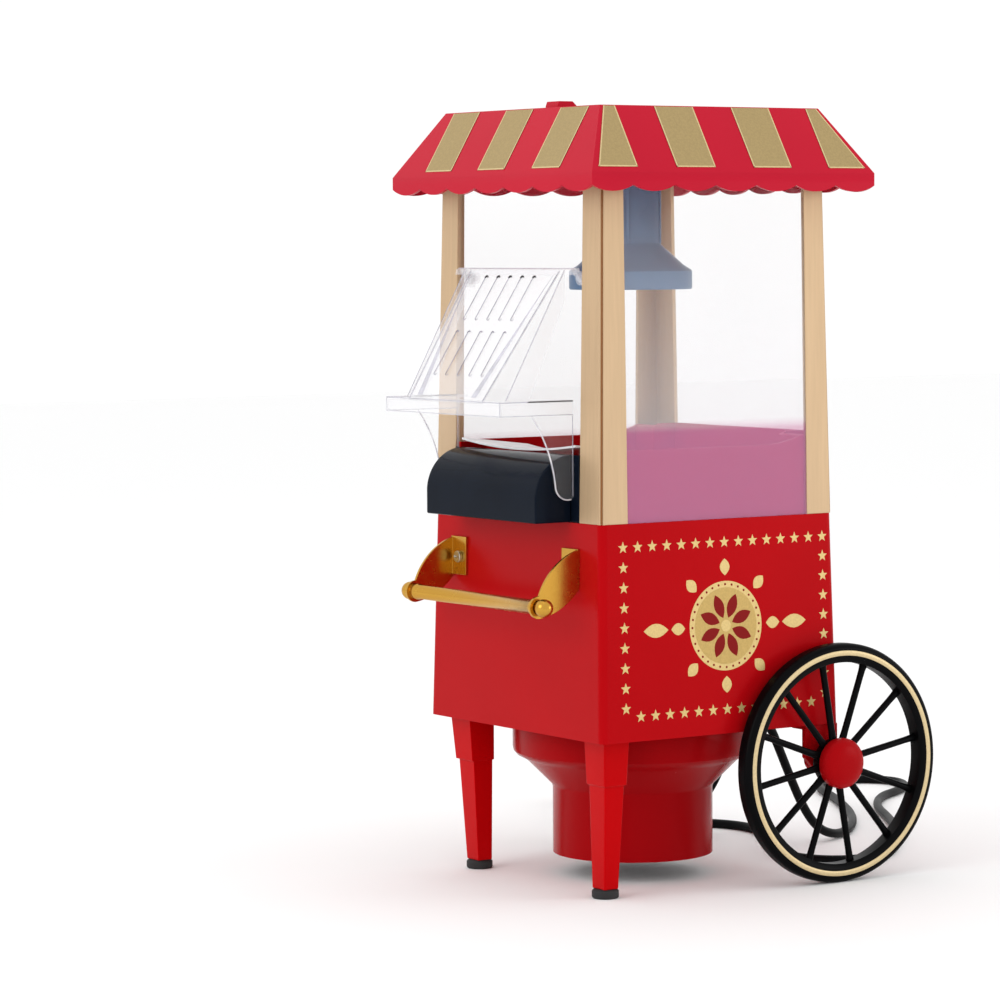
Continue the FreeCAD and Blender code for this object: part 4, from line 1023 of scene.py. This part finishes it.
def tyre_profile():
    """Rim with a rounded tread, a shoulder and a seat for the gold ring."""
    seat = [(55, 88.2), (55, 95.6), (56, 96.5), (58.7, 96.7), (58.8, 96.2), (61.5, 96.2), (61.6, 96.8)]
    outer, inner = tread(93.5, 3.3, range(84, -1, -12)), tread(90.0, 3.4, range(0, -85, -12))
    return seat + outer + inner + [(57, 86.6), (55.5, 87.2)]


def add_wheels():
    """Spoked wheels with a gold ring on the rim and a red dome over the hub."""
    rim = about_axle(tyre_profile())
    hub_profile = [(3.1, 84.7), (10.6, 84.7), (11.6, 85.3), (12.9, 87.4), (12.9, 92.6), (12.3, 93.1),
                   (3.1, 93.1)]
    spokes = [spoke(FIRST_SPOKE + SPOKE_GAP * k) for k in range(SPOKES)]
    wheel = merged([rim, about_axle(hub_profile, 64)] + spokes)
    ring = about_axle([(58.8, 96.15), (61.5, 96.15), (61.5, 96.8), (61.1, 97.0), (59.2, 97.0), (58.8, 96.8)])
    dome = [(13.85 * math.sin(math.radians(a)) ** 0.75, 95.4 + 6.1 * math.cos(math.radians(a)) ** 0.75)
            for a in range(2, 90, 4)]
    cap = about_axle([(12.4, 93.3), (0.02, 93.4), (0.02, 101.49)] + dome + [(13.85, 94.6), (13.6, 93.3)], 72)
    pieces = (("spoked_wheel_", wheel, "wheel_black", "wheel_", 40),
              ("gold_line_", ring, "ring_gold", "wheel_ring_", 50),
              ("hub_dome_", cap, "cap_red", "hub_cap_", 40))
    for side, turned in (("right", lambda part: part), ("left", mirrored)):
        for name, part, look, node, sharp in pieces:
            made = add_piece(name + side, *turned(part), look, "wheel_" + side, look, sharp)
            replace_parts(made, node + side)


# ---- base and duct

def add_popper_base():
    """The round base: a drum that widens into a shoulder under the cabinet."""
    outside = [(44.2, 12.0), (44.2, 48.6), (44.9, 50.2), (58.4, 63.7), (60.6, 65.2), (64.2, 67.0), (65.8, 68.9),
               (66.3, 71.2), (66.3, 83.4), (65.6, 85.2)]
    inside = [(62.9, 85.2), (62.9, 69.8), (57.6, 66.7), (42.1, 50.8), (42.1, 12.6), (42.8, 11.9), (43.6, 11.9)]
    base = add_piece("base_drum", *lathe(outside + inside, at(0, 0, 0), (0, 0, 1), 144), "base_red",
                     slot="cabinet_red", sharp=25)
    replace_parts(base, "popper_base")


def add_kettle():
    """Duct with its kettle-shaped skirt, a bead round the rim and four moulded ribs."""
    outside = [(33.2, 322.6), (33.8, 323.3), (33.8, 332.4), (33.2, 333.2), (29.0, 335.9), (16.9, 347.0),
               (16.3, 348.4), (16.3, 417.9)]
    inside = [(14.9, 417.9), (14.9, 347.0), (28.0, 334.6), (32.2, 331.4), (32.2, 322.6)]
    shell = lathe(outside + inside, at(0, 0, 0), (0, 0, 1), 112)
    ribs = []
    for turn in (40, 140, 220, 320):
        cos, sin = math.cos(math.radians(turn)), math.sin(math.radians(turn))
        outline = [(15.9, 348.2), (17.2, 347.6), (17.2, 417.6), (15.9, 417.6)]
        ribs.append(prism(outline, -0.8, 0.8, lambda u, v, w: at(u * cos - w * sin, u * sin + w * cos, v)))
    kettle = add_piece("kettle_duct", *merged([shell] + ribs), "slate", slot="slate_plastic", sharp=32)
    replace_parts(kettle, "filler_duct")


# Outer corners of a post at its foot and top, and how far in from them the painted shade line in its groove
# runs
POST_FOOT, POST_TOP = (80.4, 76.9, 201.0), (77.05, 73.25, 391.5)
GROOVE_INSET, GROOVE_RADIUS = 1.5 - 0.35, 0.45


def add_groove_shade_lines():
    """A painted shade line down the groove in each post's outer corner, where the groove's shade falls."""
    runs = []
    for sx in (1, -1):
        for sy in (1, -1):
            run = [(sx * (x - GROOVE_INSET), sy * (y - GROOVE_INSET), z) for x, y, z in (POST_FOOT, POST_TOP)]
            runs += rod(run, GROOVE_RADIUS)
    add_piece("post_groove_shade", *merged(runs), "groove_brown", slot="post_gold", sharp=60)


MARK_BACK, MARK_FRONT, MARK_OFFSET = -2.6, -1.3, 4.6  # from the rocker's rearmost face, and its middle


def add_switch_marks():
    """Raised bar and ring on the rocker that tell on from off."""
    low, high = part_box("switch_rocker")
    middle = (low + high) / 2 - MIDDLE
    x, z, face = middle.x / MM, middle.z / MM, (high.y - MIDDLE.y) / MM
    bar = prism(rectangle(-MARK_OFFSET, -1.5, -3.9, 1.5), face + MARK_BACK, face + MARK_FRONT,
                lambda u, v, w: at(x + u, w, z + v))
    ring = lathe(rectangle(1.0, MARK_BACK, 1.5, MARK_FRONT), at(x + MARK_OFFSET, face, z), (0, 1, 0), 32)
    add_piece("switch_marks", *merged([bar, ring]), "pale", "rocker", "base_black", 40)


# ---- CAD nodes' finishes

# Material, and rounding of the edges in millimetres; a name that ends in _ stands for a left and a right node
NODE_FINISHES = {
    "body_shell": ("gloss_red", 0.9), "body_floor": ("gloss_red", 0.3), "hopper": ("gloss_red", 0.5),
    "leg_front_": ("leg_red", 0.7), "wheel_bracket_": ("gloss_red", 0.5),
    "canopy": ("canopy_red", 0.7), "measuring_cup": ("canopy_red", 0.4),
    "post_front_": ("post_gold", 0.35), "post_rear_": ("post_gold", 0.35),
    "window_left": ("clear_pane", 0.15), "window_right": ("hazy_pane", 0.15),
    "window_rear": ("clear_pane", 0.15), "hopper_slide": ("pale", 0.2),
    "handle_bracket_": ("brass", 0.3), "handle_screws": ("steel", 0.4), "foot_front_": ("rubber", 0.3),
    "axle_": ("steel", 0.3), "axle_clips": ("steel", 0.2), "body_screws": ("steel", 0.2),
    "base_screws": ("steel", 0.2), "motor": ("steel", 0.4), "fan_shaft": ("steel", 0.2),
    "thermostat": ("aluminium", 0.2), "air_jacket": ("aluminium", 0.15), "hood_hinge_": ("clear_hood", 0.3),
    "base_grille": ("black_moulding", 0.3), "motor_mount": ("black_moulding", 0.3),
    "fan_impeller": ("black_moulding", 0.2), "switch_housing": ("black_moulding", 0.4),
    "switch_rocker": ("rocker_black", 0.4), "heating_coil": ("nichrome", 0), "coil_frame": ("mica_sheet", 0.1),
    "thermal_fuse": ("mica_sheet", 0.1), "popping_chamber": ("aluminium", 0.25),
    "circuit_board": ("circuit_green", 0.2),
}


def dress_nodes():
    for name, finish in NODE_FINISHES.items():
        for node in (name + "left", name + "right") if name.endswith("_") else (name,):
            dress_node(node, *finish)


# ---- running the build

add_camera()
add_studio()
add_cord()
dress_nodes()
add_stripes()
add_side_prints()
add_serving_lip()
add_hood()
add_handle()
add_wheels()
add_popper_base()
add_kettle()
add_groove_shade_lines()
add_switch_marks()
